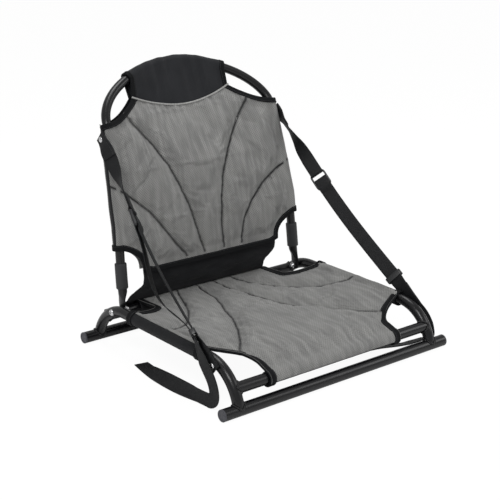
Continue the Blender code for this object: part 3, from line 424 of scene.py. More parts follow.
def finish_shape(thing, sharp_degrees=45):
    """Merges doubles, turns the faces outwards and shades them smooth with crisp edges."""
    shape = bmesh.new()
    shape.from_mesh(thing.data)
    bmesh.ops.remove_doubles(shape, verts=shape.verts, dist=1e-6)
    bmesh.ops.recalc_face_normals(shape, faces=shape.faces)
    shape.to_mesh(thing.data)
    shape.free()
    thing.data.shade_smooth()
    thing.data.set_sharp_from_angle(angle=math.radians(sharp_degrees))
    return thing


def bent_tube(name, path, diameter, finish, sides=32):
    """A round tube along a path."""
    return finish_shape(run_tree(name, tube_tree, [path], Diameter=diameter, Sides=sides, Finish=finish))


print("tube inputs:", [s.name for s in tube_tree.interface.items_tree])

# %% Make the floor tubes, rails and cross tubes
def between(start, end, count):
    """Count evenly spaced values from start to end."""
    return [start + (end - start) * i / (count - 1) for i in range(count)]


def angles(start, end, count):
    """Evenly spaced angles in radians, from start to end in degrees."""
    return [math.radians(a) for a in between(start, end, count)]


def rail_path(x, steps=28):
    """A rail's axis from the front floor tube over the top to the rear floor tube."""
    points = []
    for (y, z), bend, side in ((FRONT_CENTRE, FRONT_BEND, -1), (REAR_CENTRE, REAR_BEND, 1)):
        end = math.acos((FOOT_RADIUS - z) / bend)
        turns = between(end, 0, steps) if side < 0 else between(0, end, steps)
        points += [(x, y + side * bend * math.sin(a), z + bend * math.cos(a)) for a in turns]
    return points


SIDES = ((-1, "left"), (1, "right"))
for label, y in (("front", FRONT_FOOT_Y), ("rear", REAR_FOOT_Y)):
    path = [(x, y, FOOT_RADIUS) for x in between(-FOOT_HALF, FOOT_HALF, 25)]
    tube = bent_tube(f"{label}_floor_tube", path, 2 * FOOT_RADIUS, powder_coat, 48)
    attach(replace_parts(tube, f"{label}_foot_tube"), "seat")
for label, (y, z) in (("front", FRONT_CROSS), ("rear", REAR_CROSS)):
    tube = bent_tube(f"{label}_bar", [(x, y, z) for x in between(-RAIL_X, RAIL_X, 25)],
                     2 * RAIL_RADIUS, powder_coat)
    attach(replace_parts(tube, f"{label}_cross_tube"), "seat")
for side, label in SIDES:
    rail = bent_tube(f"{label}_rail", rail_path(side * RAIL_X), 2 * RAIL_RADIUS, powder_coat)
    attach(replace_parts(rail, f"{label}_side_rail"), "seat")

# %% [markdown]
# The back hoop is one tube from lug to lug. Near each lug the round section is squeezed to a flat
# tab, wider than the tube, because the metal that leaves the thickness goes into the width.

# %% Make the back hoop
LUG_BOTTOM = PIVOT.z - 0.0085
LUG_LENGTH, LUG_TAPER = 0.014, 0.020


def upright_at(side, z):
    """A point of an upright's axis at height z."""
    return Vector((side * upright_x(z), hoop_y(z), z))


def lug_share(z):
    """How far the tube is pressed flat at z: 1 at the lug, 0 where it is round."""
    past = clamp((z - PIVOT.z - LUG_LENGTH) / LUG_TAPER)
    return 1 - past * past * (3 - 2 * past)


def hoop_path():
    """The hoop's axis from the left lug over the crown to the right lug."""
    heights = between(LUG_BOTTOM, PIVOT.z + LUG_LENGTH + LUG_TAPER, 24)
    heights += between(heights[-1], SHOULDER_HEIGHT, 50)[1:]
    right = [(upright_x(z) + (LUG_X - upright_x(z)) * lug_share(z), hoop_y(z), z) for z in heights]
    crown = []
    for turn in between(0, math.pi, 72)[1:-1]:
        share = math.copysign(abs(math.cos(turn)) ** (2 / CROWN_ROUNDNESS), math.cos(turn))
        z = crown_z(share * SHOULDER_HALF)
        crown.append((-share * SHOULDER_HALF, hoop_y(z), z))
    return [(-x, y, z) for x, y, z in right] + crown + right[::-1]


def press_lugs(hoop):
    """Squeezes both ends of the hoop to flat tabs with round ends."""
    for spot in hoop.data.vertices:
        z = spot.co.z
        press = lug_share(z)
        if press > 0:
            side = math.copysign(1, spot.co.x)
            middle_x = side * (upright_x(z) + (LUG_X - upright_x(z)) * press)
            end = clamp((z - LUG_BOTTOM) / (LUG_WIDTH / 2))
            narrow = math.sqrt(1 - (1 - end) ** 2 * 0.96)
            thin = 1 + (LUG_THICKNESS / (2 * HOOP_RADIUS) - 1) * press
            wide = (1 + (LUG_WIDTH / (2 * HOOP_RADIUS) - 1) * press) * narrow
            spot.co.x = middle_x + (spot.co.x - middle_x) * thin
            spot.co.y = hoop_y(z) + (spot.co.y - hoop_y(z)) * wide


hoop = bent_tube("back_hoop_tube", hoop_path(), 2 * HOOP_RADIUS, powder_coat, 28)
press_lugs(hoop)
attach(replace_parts(hoop, "back_hoop"), "backrest")
print("hoop faces:", len(hoop.data.polygons))

# %% [markdown]
# ## Weld beads
# Where one tube lands on another, the real frame has a small welded fillet, a row of overlapping
# ripples. The line of each weld is worked out from the two tubes, and a second Geometry Nodes tree
# sets a flattened drop at each step along it. The same tree later sews the stitches, because a
# stitch is also one small piece repeated along a line.

# %% Build the tree that repeats a drop along a path
run, given = new_tree("drops_along_a_path", Pitch=0.003, Length=0.002, Width=0.0007, Unevenness=0.1, Seed=4)
spots = add_node(run, "GeometryNodeCurveToPoints", {"Curve": given["Path"], "Length": given["Pitch"]},
                 mode="LENGTH")
facing = add_node(run, "FunctionNodeAlignRotationToVector", {"Vector": spots.outputs["Tangent"]}, axis="X")
drop = add_node(run, "GeometryNodeMeshUVSphere", {"Segments": 7, "Rings": 4, "Radius": 0.5})
least, most = [calculate(run, way, 1.0, given["Unevenness"]) for way in ("SUBTRACT", "ADD")]
chance = add_node(run, "FunctionNodeRandomValue", {2: least, 3: most, "Seed": given["Seed"]}, data_type="FLOAT")
shape = add_node(run, "ShaderNodeCombineXYZ", {0: given["Length"], 1: given["Width"], 2: given["Width"]})
scale = add_node(run, "ShaderNodeVectorMath", {0: shape.outputs[0], "Scale": chance.outputs[1]},
                 operation="SCALE")
copies = add_node(run, "GeometryNodeInstanceOnPoints",
                  {"Points": spots.outputs["Points"], "Instance": drop.outputs["Mesh"],
                   "Rotation": facing.outputs[0], "Scale": scale.outputs[0]})
close_tree(run, copies.outputs[0], given["Finish"])
print("drop inputs:", [s.name for s in run.interface.items_tree])

# %% Weld the rails to the floor tubes and the bars to the rails
BEAD_SINK = 0.0004


def from_rail(point, side):
    """Distance of a point from a rail's axis."""
    x, y, z = point
    for (cy, cz), bend, way in ((FRONT_CENTRE, FRONT_BEND, -1), (REAR_CENTRE, REAR_BEND, 1)):
        if way * (y - cy) > 0:
            return math.hypot(math.hypot(y - cy, z - cz) - bend, x - side * RAIL_X)
    return math.hypot(z - RAIL_HEIGHT, x - side * RAIL_X)


def surface_line(centre, reach, out, across, inside, steps=60):
    """Points round a tube, each slid along it until it reaches the other tube's surface."""
    line = []
    for turn in between(0, math.tau, steps):
        foot = centre + across[0] * reach * math.cos(turn) + across[1] * reach * math.sin(turn)
        low, high = 0.0, 0.030
        for _ in range(24):
            middle = (low + high) / 2
            if inside(foot + out * middle):
                low = middle
            else:
                high = middle
        line.append(foot + out * (low - BEAD_SINK))
    return line


weld_lines = []
X, Y, Z = Vector((1, 0, 0)), Vector((0, 1, 0)), Vector((0, 0, 1))
for side, label in SIDES:
    for foot_y, centre in ((FRONT_FOOT_Y, FRONT_CENTRE), (REAR_FOOT_Y, REAR_CENTRE)):
        start = Vector((side * RAIL_X, foot_y, FOOT_RADIUS))
        radial = (start - Vector((side * RAIL_X, *centre))).normalized()
        out = radial.cross(X)
        out = out if out.z > 0 else -out
        weld_lines.append(surface_line(start, RAIL_RADIUS + 0.0007, out, (X, radial), lambda p, y=foot_y:
                                       math.hypot(p.y - y, p.z - FOOT_RADIUS) < FOOT_RADIUS + 0.0005))
    for bar_y, bar_z in (FRONT_CROSS, REAR_CROSS):
        start = Vector((side * RAIL_X, bar_y, bar_z))
        weld_lines.append(surface_line(start, RAIL_RADIUS + 0.0005, -side * X, (Y, Z), lambda p, s=side:
                                       from_rail(p, s) < RAIL_RADIUS + 0.0005))
beads = run_tree("weld_beads", run, weld_lines, Pitch=0.0011, Length=0.0026, Width=0.0040,
                 Unevenness=0.12, Seed=7, Finish=powder_coat)
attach(beads, "seat")
print("weld lines:", len(weld_lines), "faces:", len(beads.data.polygons))

# %% [markdown]
# ## Turned and pushed-on parts
# End caps, bolts, nuts, washers and rivets are all turned about one axis, so one function spins a
# profile. The cap is a moulded plug with a raised rim, the bolt head is domed with a hexagon socket,
# and a nut is the same spin with six sides and its corners eased.

# %% Make a turning function and the end caps
def turned(name, profile, start, axis, finish, segments=40, sharp=32):
    """Spins (radius, height) points about an axis through start."""
    axis = Vector(axis).normalized()
    first = axis.orthogonal().normalized()
    second = axis.cross(first)
    points, faces = [], []
    for radius, height in profile:
        for k in range(segments):
            a = math.tau * (k + 0.5) / segments
            points.append(Vector(start) + axis * height + (first * math.cos(a) + second * math.sin(a)) * radius)
    for i in range(len(profile) - 1):
        for k in range(segments):
            n = (k + 1) % segments
            a, b = i * segments, (i + 1) * segments
            faces.append((a + k, a + n, b + n, b + k))
    mesh = bpy.data.meshes.new(name)
    mesh.from_pydata(points, [], faces)
    mesh.materials.append(finish)
    shape = bmesh.new()
    shape.from_mesh(mesh)
    bmesh.ops.remove_doubles(shape, verts=shape.verts, dist=1e-6)
    bmesh.ops.dissolve_degenerate(shape, edges=shape.edges, dist=1e-7)
    shape.to_mesh(mesh)
    shape.free()
    return finish_shape(add_object(name, mesh), sharp)


CAP_RADIUS, CAP_LENGTH, CAP_EDGE = 0.0101, 0.003, 0.0009
for end, y in (("front", FRONT_FOOT_Y), ("rear", REAR_FOOT_Y)):
    for side, label in SIDES:
        rim = [(CAP_RADIUS - CAP_EDGE + CAP_EDGE * math.cos(a), CAP_LENGTH - CAP_EDGE + CAP_EDGE * math.sin(a))
               for a in angles(0, 90, 6)]
        profile = [(0, -0.008), (0.0079, -0.008), (0.0079, 0.0001), (CAP_RADIUS, 0.0001)] + rim
        profile += [(0.0074, CAP_LENGTH), (0.0070, CAP_LENGTH - 0.0006), (0.0066, CAP_LENGTH - 0.0007),
                    (0.0030, CAP_LENGTH - 0.0004), (0, CAP_LENGTH - 0.0003)]
        cap = turned(f"{end}_{label}_tube_cap", profile, (side * FOOT_HALF, y, FOOT_RADIUS), (side, 0, 0),
                     cap_plastic, 48)
        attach(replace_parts(cap, f"{end}_{label}_end_cap"), "seat")
print("cap reaches in mm:", round(1000 * (FOOT_HALF + CAP_LENGTH), 1))

# %% Make the bolts, nuts, washers and sleeves
HEAD_RADIUS, HEAD_HEIGHT, BOLT_RADIUS = 0.00575, 0.0034, 0.003
SOCKET_RADIUS, BOLT_TIP, NUT_ACROSS, NUT_HEIGHT = 0.0019, 0.186, 0.0100, 0.0049
for side, label in SIDES:
    under_head = RAIL_X + RAIL_RADIUS - 0.0006
    dome = [(HEAD_RADIUS * math.cos(a), under_head + 0.0006 + HEAD_HEIGHT * math.sin(a))
            for a in between(0, math.radians(62), 9)]
    profile = [(0, BOLT_TIP), (BOLT_RADIUS - 0.0005, BOLT_TIP), (BOLT_RADIUS, BOLT_TIP + 0.0005),
               (BOLT_RADIUS, under_head), (HEAD_RADIUS, under_head)]
    profile += dome + [(SOCKET_RADIUS + 0.0002, dome[-1][1] + 0.0001), (SOCKET_RADIUS, dome[-1][1] - 0.0003),
                       (SOCKET_RADIUS, under_head + 0.0012), (0, under_head + 0.0012)]
    bolt = turned(f"{label}_hinge_bolt", profile, (0, PIVOT.y, PIVOT.z), (side, 0, 0), stainless)
    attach(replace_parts(bolt, f"{label}_pivot_bolt"), "seat")
    inner = LUG_X - LUG_THICKNESS / 2 - 0.0001
    outer = NUT_ACROSS / 2 / math.cos(math.pi / 6)
    profile = [(BOLT_RADIUS, 0), (outer - 0.0006, 0), (outer, 0.0005), (outer, NUT_HEIGHT - 0.0005),
               (outer - 0.0006, NUT_HEIGHT), (BOLT_RADIUS, NUT_HEIGHT), (BOLT_RADIUS, 0)]
    nut = turned(f"{label}_hinge_nut", profile, (side * inner, PIVOT.y, PIVOT.z), (-side, 0, 0), stainless,
                 6, 25)
    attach(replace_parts(nut, f"{label}_pivot_nut"), "seat")
    profile = [(BOLT_RADIUS, 0), (HEAD_RADIUS, 0), (HEAD_RADIUS + 0.0003, 0.0004),
               (HEAD_RADIUS + 0.0003, 0.0011), (HEAD_RADIUS, 0.0015), (BOLT_RADIUS, 0.0015), (BOLT_RADIUS, 0)]
    outside = (side * (LUG_X + LUG_THICKNESS / 2 + 0.0001), PIVOT.y, PIVOT.z)
    washer = turned(f"{label}_hinge_washer", profile, outside, (side, 0, 0), buckle_plastic)
    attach(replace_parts(washer, f"{label}_pivot_spacer"), "seat")
print("bolt head radius in mm:", HEAD_RADIUS / MM)

# %% [markdown]
# The sleeve is a short rubber tube pushed over each upright above the seat. It is carried along the
# upright's own line by a general function that sweeps any ring along any path. The same function
# makes webbing, tape, piping and hems later, so it also lays a map in metres along the piece.

# %% Make a sweeping function
def smooth_path(points, steps):
    """Points on a smooth curve through the given ones."""
    points = [Vector(p) for p in points]
    ends = [2 * points[0] - points[1]] + points + [2 * points[-1] - points[-2]]
    result = []
    for i in range(1, len(ends) - 2):
        a, b, c, d = ends[i - 1:i + 3]
        for k in range(steps):
            t = k / steps
            result.append(0.5 * (2 * b + (c - a) * t + (2 * a - 5 * b + 4 * c - d) * t ** 2
                                 + (3 * b - a - 3 * c + d) * t ** 3))
    return result + [points[-1]]


def length_of(path):
    return sum((b - a).length for a, b in zip(path[:-1], path[1:]))


def sweep(name, path, ring, finish, facing=None, sizes=None, closed=False, sharp=50):
    """Carries a ring of (across, out) offsets along a path; facing says which way out is."""
    path = [Vector(p) for p in path]
    count, sides = len(path), len(ring)
    shape = bmesh.new()
    cloth_map = shape.loops.layers.uv.new("cloth_map")
    rings, reach, out = [], [0.0], None
    for i, point in enumerate(path):
        before, after = (path[i - 1], path[(i + 1) % count]) if closed else (path[max(i - 1, 0)],
                                                                          path[min(i + 1, count - 1)])
        along = (after - before).normalized()
        out = Vector(facing[i]) if facing else (out or along.orthogonal())
        out = (out - along * out.dot(along)).normalized()
        across = along.cross(out)
        wide, high = sizes[i] if sizes else (1, 1)
        rings.append([shape.verts.new(point + across * a * wide + out * b * high) for a, b in ring])
        reach.append(reach[-1] + (path[(i + 1) % count] - point).length)
    girth = [0.0]
    for k in range(sides):
        girth.append(girth[-1] + math.dist(ring[k], ring[(k + 1) % sides]))
    for i in range(count if closed else count - 1):
        near, far = rings[i], rings[(i + 1) % count]
        for k in range(sides):
            n = (k + 1) % sides
            face = shape.faces.new((near[k], near[n], far[n], far[k]))
            corners = ((reach[i], girth[k]), (reach[i], girth[k + 1]), (reach[i + 1], girth[k + 1]),
                       (reach[i + 1], girth[k]))
            for loop, spot in zip(face.loops, corners):
                loop[cloth_map].uv = spot
    if not closed:
        shape.faces.new(rings[0][::-1])
        shape.faces.new(rings[-1])
    mesh = bpy.data.meshes.new(name)
    shape.to_mesh(mesh)
    shape.free()
    mesh.materials.append(finish)
    return finish_shape(add_object(name, mesh), sharp)


def round_ring(radius, sides=24):
    """A circle as a ring for the sweep."""
    turns = [math.tau * k / sides for k in range(sides)]
    return [(radius * math.cos(a), radius * math.sin(a)) for a in turns]


SLEEVE_RADIUS = 0.0105
for side, label in SIDES:
    heights = [0.107, 0.1074, 0.108, 0.1095] + between(0.112, 0.147, 7) + [0.1495, 0.151, 0.1516, 0.152]
    path = [upright_at(side, z) for z in heights]
    sizes = [(s, s) for s in (0.90, 0.955, 0.985, *[1.0] * 9, 0.985, 0.955, 0.90)]
    sleeve = sweep(f"{label}_rubber_sleeve", path, round_ring(SLEEVE_RADIUS, 32), sleeve_rubber, sizes=sizes,
                   sharp=60)
    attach(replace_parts(sleeve, f"{label}_upright_sleeve"), "backrest")
print("sleeve length in mm:", round((heights[-1] - heights[0]) / MM))

# %% [markdown]
# ## How a padded sling is made
# The real sling is two layers of mesh with thin foam between them, sewn through along curved lines,
# so it swells between the seams. Each pad starts as a grid of points on the stretched surface and is
# raised a little between its seams. A cloth simulation with pressure then swells it, with the seams
# and edges held, which gives the soft puckers. The grid is made finer, the sewn lines are pulled in,
# and a rear side closes it. A grid was chosen over a remeshed block because it keeps the edges
# crisp and carries its own map for the weave.

# %% Make the cloth functions
# Of the cloth runs: frames, slack of the cloth, and how far its points may move in metres.
FRAMES, SLACK, MOST_OUTWARDS, MOST_INWARDS = 20, 0.035, 0.005, 0.0003
# Half width of the line that a seam holds, and how far from it the pad reaches its full height.
HELD_GAP, PUFF_WIDTH = 0.0026, 0.014


def normals_of(grid):
    """Unit normals of a grid of points."""
    across, along = np.gradient(grid, axis=1), np.gradient(grid, axis=0)
    normal = np.cross(across, along)
    return normal / (np.linalg.norm(normal, axis=2, keepdims=True) + 1e-12)


def line_distance(flat, lines):
    """Distance of each point of a flat map from the nearest of the lines."""
    best = np.ones(flat.shape[:2])
    for line in lines:
        for start, end in zip(line[:-1], line[1:]):
            start, step = np.array(start), np.array(end) - np.array(start)
            share = np.clip(((flat - start) @ step) / (step @ step), 0, 1)
            best = np.minimum(best, np.linalg.norm(flat - start - share[..., None] * step, axis=2))
    return best


def finer(grid):
    """The grid with twice as many rows and columns, on smooth curves through the old points."""
    for axis in (0, 1):
        old = np.moveaxis(grid, axis, 0)
        ends = np.concatenate([2 * old[:1] - old[1:2], old, 2 * old[-1:] - old[-2:-1]])
        new = np.empty((2 * len(old) - 1, *old.shape[1:]))
        new[::2] = old
        new[1::2] = (9 * (old[:-1] + old[1:]) - ends[:-3] - ends[3:]) / 16
        grid = np.moveaxis(new, 0, axis)
    return grid


def grid_faces(rows, columns, start=0):
    """Quads of a grid whose points are numbered row by row."""
    number = np.arange(rows * columns).reshape(rows, columns) + start
    corners = [number[:-1, :-1], number[:-1, 1:], number[1:, 1:], number[1:, :-1]]
    return np.stack(corners, axis=2).reshape(-1, 4)


def cloth_shell(name, front, rear, flat, finish, seam=None, sharp=60):
    """Closed skin of a cloth: its front and its rear grid, joined round the rim."""
    rows, columns = front.shape[:2]
    half = rows * columns
    number = np.arange(half).reshape(rows, columns)
    rim = np.concatenate([number[0, :], number[1:, -1], number[-1, -2::-1], number[-2:0:-1, 0]])
    after = np.roll(rim, -1)
    faces = np.concatenate([grid_faces(rows, columns), grid_faces(rows, columns, half)[:, ::-1],
                            np.stack([after, rim, rim + half, after + half], axis=1)])
    mesh = bpy.data.meshes.new(name)
    points = np.concatenate([front.reshape(-1, 3), rear.reshape(-1, 3)])
    mesh.from_pydata(points.tolist(), [], faces.tolist())
    spots = np.tile(flat.reshape(-1, 2), (2, 1))
    corners = np.empty(len(mesh.loops), dtype=np.int64)
    mesh.loops.foreach_get("vertex_index", corners)
    mesh.uv_layers.new(name="cloth_map").data.foreach_set("uv", spots[corners].astype(np.float32).ravel())
    # The seam values carry the painted shade of the sewn lines; the rear side gets none.
    if seam is not None:
        values = np.concatenate([seam.ravel(), seam.ravel() * 0]).astype(np.float32)
        mesh.attributes.new("seam", "FLOAT", "POINT").data.foreach_set("value", values)
    mesh.materials.append(finish)
    mesh.shade_smooth()
    mesh.set_sharp_from_angle(angle=math.radians(sharp))
    return add_object(name, mesh)


def swell(name, grid, held, pressure):
    """The grid after a cloth simulation that presses it outwards with the held points pinned."""
    rows, columns = grid.shape[:2]
    mesh = bpy.data.meshes.new(name)
    mesh.from_pydata(grid.reshape(-1, 3).tolist(), [], grid_faces(rows, columns).tolist())
    thing = add_object(name, mesh)
    sewn = thing.vertex_groups.new(name="sewn")
    sewn.add([int(i) for i in np.flatnonzero(held.ravel())], 1.0, "REPLACE")
    cloth = thing.modifiers.new("cloth", "CLOTH")
    settings = cloth.settings
    settings.quality = 6
    settings.mass = 0.3
    settings.tension_stiffness = settings.compression_stiffness = 25
    settings.shear_stiffness = 12
    settings.bending_stiffness = 0.6
    settings.air_damping = 3
    settings.vertex_group_mass = "sewn"
    settings.use_pressure = True
    settings.uniform_pressure_force = pressure
    settings.shrink_min = -SLACK
    settings.effector_weights.gravity = 0
    cloth.point_cache.frame_start, cloth.point_cache.frame_end = 1, FRAMES
    for number in range(1, FRAMES + 1):
        scene.frame_set(number)
    result = thing.evaluated_get(bpy.context.evaluated_depsgraph_get()).data
    moved = np.empty(rows * columns * 3)
    result.vertices.foreach_get("co", moved)
    moved = moved.reshape(rows, columns, 3) - grid
    face = normals_of(grid)
    outwards = (moved * face).sum(axis=2, keepdims=True)
    moved -= face * np.minimum(outwards + MOST_INWARDS, 0)
    scene.frame_set(1)
    bpy.data.objects.remove(thing)
    reach = np.linalg.norm(moved, axis=2, keepdims=True) + 1e-9
    print(f"{name} swelled by up to {reach.max() / MM:.1f} mm, kept to {MOST_OUTWARDS / MM:.0f} mm")
    return grid + moved * np.minimum(1, MOST_OUTWARDS / reach)


def rough_noise(grid, stretch, size):
    """Smooth noise of about -1 to 1 over a grid of points, stretched by a factor for each axis."""
    points = grid.reshape(-1, 3) * np.array(stretch) / size
    return np.array([noise.noise(Vector(p)) for p in points]).reshape(grid.shape[:2]) * 1.6


def near(distance, width):
    """1 on a line and 0 away from it, as a soft bell of a given half width."""
    return np.exp(-(distance / width) ** 2)


def quilted(name, base, flat, seams, edge, puff, thickness, finish, pressure, folds=None):
    """A pad on a base grid: puffed between its seams, sewn down on them and closed behind."""
    seam_gap = line_distance(flat, seams)
    free = np.clip(np.minimum(seam_gap, edge), 0, None)
    swollen = base + normals_of(base) * (puff * (1 - near(free, PUFF_WIDTH)))[..., None]
    held = (seam_gap < HELD_GAP) | (edge <= 0)
    swollen = swell(name + "_cloth", swollen, held, pressure)
    fine, under, flat, edge = finer(swollen), finer(base), finer(flat), finer(edge[..., None])[..., 0]
    seam_gap = line_distance(flat, seams)
    # A narrow groove from the thread lies in a wider one from the pulled foam, and puckers beside it.
    sewn_in = 0.0011 * near(seam_gap, 0.0021) + 0.0018 * near(seam_gap, 0.0060)
    relief = -sewn_in * np.clip(edge / 0.004, 0, 1)
    relief += 0.0007 * near(seam_gap, 0.011) * rough_noise(fine, (1, 1, 1), 0.007)
    relief += 0.0004 * rough_noise(fine, (1, 1, 1), 0.028)
    if folds is not None:
        relief += folds(fine, flat)
    fine = fine + normals_of(fine) * relief[..., None]
    # Painted shade for the seam attribute: dark on the sewn lines, where the groove lies in shadow.
    seam = np.clip(1.25 * near(seam_gap, 0.0020), 0, 1) * (edge > -0.006)
    rear = under - normals_of(under) * (thickness + 0.0011 * near(seam_gap, 0.0070))[..., None]
    return cloth_shell(name, fine, rear, flat, finish, seam)


# %% [markdown]
# ## The seat pad
# The seat hangs between the two rails and is pulled down over a cross bar at each end, so it is
# dished: low in the middle, high along the rails. Its corners are cut away in round notches. The
# sewn lines run from the rear edge in a fan towards the front corners. They were read off the
# photograph as lines on the seat, in millimetres.

# %% Write down the seat's surface
WRAP, SEAT_LEAN, NOTCH_POWER = 0.0126, -0.005, 1.8
MIDDLE_HEIGHT, RISE_LENGTH = 0.061, 0.045
FRONT_HEMS = {-1: (HEM_FRONT, FRONT_NOTCH), 1: (HEM_FRONT - 0.015, FRONT_NOTCH - 0.015)}


def seat_half(y, side):
    """Half the seat's width at y on a side, with a rounded notch at each corner."""
    hem, notch = FRONT_HEMS[side]
    ahead, behind = clamp((y - hem) / notch + 1), clamp((HEM_REAR - y) / REAR_NOTCH + 1)
    return min(SEAT_FRONT_HALF + (RAIL_X - SEAT_FRONT_HALF) * ahead ** NOTCH_POWER,
               SEAT_REAR_HALF + (RAIL_X - SEAT_REAR_HALF) * behind ** NOTCH_POWER)


def seat_edge(y, side):
    """Sideways place of the seat's edge; the front sits a little to the left on its bar."""
    half = seat_half(y, side)
    free = clamp((RAIL_X - half) / (RAIL_X - SEAT_FRONT_HALF)) if y < 0 else 0
    return side * half + SEAT_LEAN * free


def seat_z(x, y):
    """Height of the stretched seat: high along the rails, lower at the bars and in the middle."""
    bar_z = (FRONT_CROSS if y < 0 else REAR_CROSS)[1]
    rise = min(min(y - FRONT_CROSS[0], REAR_CROSS[0] - y) / RISE_LENGTH, 1)
    middle = bar_z + HEM_RADIUS + (MIDDLE_HEIGHT - bar_z - HEM_RADIUS) * rise
    height = middle + (RAIL_HEIGHT + RAIL_RADIUS - middle) * rise * min(abs(x) / RAIL_X, 1) ** 3
    beside = WRAP ** 2 - (RAIL_X - abs(x)) ** 2
    on_rail = FRONT_HEMS[1 if x > 0 else -1][0] < y < HEM_REAR and beside > 0
    return max(height, RAIL_HEIGHT + math.sqrt(beside)) if on_rail else height + 0.0006


def seat_point(share, turn, y, lap):
    """A point of the seat and its place on the flat map; turn goes over a rail, lap round a bar."""
    bar_y, bar_z = FRONT_CROSS if y < 0 else REAR_CROSS
    side = 1 if share > 0 else -1
    x = seat_edge(y, side) * abs(share)
    if lap:
        way = -1 if y < 0 else 1
        x += side * turn * 0.0010
        spot = (x, bar_y + way * WRAP * math.sin(lap), bar_z + WRAP * math.cos(lap))
        return spot, (x, y + way * WRAP * lap)
    if turn and FRONT_HEMS[side][0] < y < HEM_REAR:
        spot = (side * (RAIL_X + WRAP * math.sin(turn)), y, RAIL_HEIGHT + WRAP * math.cos(turn))
        return spot, (x + side * WRAP * turn, y)
    return (x + side * turn * 0.0010, y, seat_z(x, y)), (x + side * turn * 0.0010, y)


def seat_grid(shares, turns, steps, front_lap, rear_lap):
    """Grids of the seat's points and of their places on the flat map."""
    rows = [(FRONT_CROSS[0], lap) for lap in between(front_lap, 0, 9)[:-1]]
    rows += [(y, 0) for y in between(FRONT_CROSS[0], REAR_CROSS[0], steps)]
    rows += [(REAR_CROSS[0], lap) for lap in between(0, rear_lap, 6)[1:]]
    columns = [(-1, t) for t in turns[::-1]] + [(s, 0) for s in shares] + [(1, t) for t in turns]
    both = [[seat_point(share, turn, y, lap) for share, turn in columns] for y, lap in rows]
    return [np.array([[point[k] for point in row] for row in both]) for k in (0, 1)]


def in_metres(*points):
    """A line that is written in millimetres."""
    return [(x * MM, y * MM) for x, y in points]


SEAT_SEAMS = [
    in_metres((-17, 150), (-17, 137), (-20, 81), (-31, 46), (-46, 15), (-59, -23), (-86, -73), (-118, -120),
              (-160, -172)),
    in_metres((20, 150), (21, 139), (37, 67), (49, 0), (65, -51), (90, -84), (118, -127), (153, -182)),
    in_metres((57, 152), (60, 142), (81, 88), (100, 49), (128, 11), (152, -14), (184, -31), (212, -48))]
SEAT_SEAMS.append([(-x, y) for x, y in SEAT_SEAMS[2]])
print("seat width at the rails in mm:", round(2 * seat_half(0, 1) / MM))

# %% Sew and fill the seat pad
base, flat = seat_grid(between(-1, 1, 101), [math.radians(a) for a in (5, 10)], 92,
                       math.radians(112), math.radians(70))
ys = between(FRONT_CROSS[0], REAR_CROSS[0], 150)
cut_edges = [[(seat_edge(y, side), y) for y in ys] for side in (-1, 1)]
bar_edges = [[(-0.15, y), (0.15, y)] for y in (FRONT_CROSS[0], REAR_CROSS[0])]
edge = np.minimum(line_distance(flat, cut_edges) - 0.012, line_distance(flat, bar_edges) - 0.006)
wrapped = (flat[..., 1] < FRONT_CROSS[0]) | (flat[..., 1] > REAR_CROSS[0]) | (np.abs(flat[..., 0]) > RAIL_X)
edge = np.where(wrapped, -0.001, edge)
seat_pad = quilted("seat_pad", base, flat, SEAT_SEAMS, edge, 0.0055, 0.0024, air_mesh, 3.5)
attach(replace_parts(seat_pad, "seat_sling"), "seat")
print("seat pad triangles:", 2 * len(seat_pad.data.polygons))

# %% [markdown]
# Under the mesh lies a plain black cloth that carries the load. It closes round both rails and both
# bars in hems, which are seen as a black band beside the mesh. The hems are swept along the tubes a
# little unevenly, as cloth sleeves are.

# %% Make the black base cloth and its hems
base, flat = seat_grid(between(-0.93, 0.93, 41), [], 48, math.radians(150), math.radians(150))
down = normals_of(base)
seat_base = cloth_shell("seat_base_cloth", base - down * 0.0038, base - down * 0.0052, flat, black_cloth)
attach(seat_base, "seat")


def cloth_hem(name, path, radius, body, seed):
    """A cloth sleeve round a tube, slightly uneven along its length."""
    sizes = [1 + 0.016 * noise.noise(Vector((i * 0.31, seed, 0))) for i in range(len(path))]
    hem = sweep(name, path, round_ring(radius, 28), black_cloth, sizes=[(s, s) for s in sizes])
    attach(hem, body)


RAIL_HEM, FRONT_BAR_HEM, REAR_BAR_HEM, UPRIGHT_HEM = 0.0116, 0.0111, 0.0116, 0.0101
for side, label in SIDES:
    path = [(side * RAIL_X, y, RAIL_HEIGHT) for y in between(FRONT_HEMS[side][0], HEM_REAR, 60)]
    cloth_hem(f"{label}_rail_hem", path, RAIL_HEM, "seat", side)
for label, (y, z), half, radius in (("front", FRONT_CROSS, SEAT_FRONT_HALF, FRONT_BAR_HEM),
                                    ("rear", REAR_CROSS, SEAT_REAR_HALF, REAR_BAR_HEM)):
    lean = SEAT_LEAN if y < 0 else 0
    cloth_hem(f"{label}_bar_hem", [(x + lean, y, z) for x in between(-half, half, 60)], radius, "seat", 3 * z)

# %% [markdown]
# ## Bound edges
# Every cut edge is bound with black grosgrain tape, folded over the edge and sewn down. One tape
# starts round the rail, follows the notch and ends round the bar, so its path is written in those
# three parts, each with the direction that the cloth faces. The stitches are sewn later along the
# same paths, near the tape's inner edge.

# %% Bind the seat's notches
TAPE = [(a * MM, b * MM) for a, b in (
    (-1.7, -0.4), (-1.5, 0.6), (-0.7, 1.25), (1.2, 1.3), (4, 1.15), (7.5, 1.05), (10.6, 0.9), (11.3, 0.4),
    (11.3, -0.6), (6, -1.0), (1.2, -2.6), (-0.6, -2.7), (-1.4, -1.7))]
STITCH_INSET = 0.0090
RAIL_TAPE_RADIUS, BAR_TAPE_RADIUS, UPRIGHT_TAPE_RADIUS, RAIL_TAPE_PAST = 0.0125, 0.0129, 0.0116, 0.0022
stitch_lines = {"seat": [], "backrest": []}


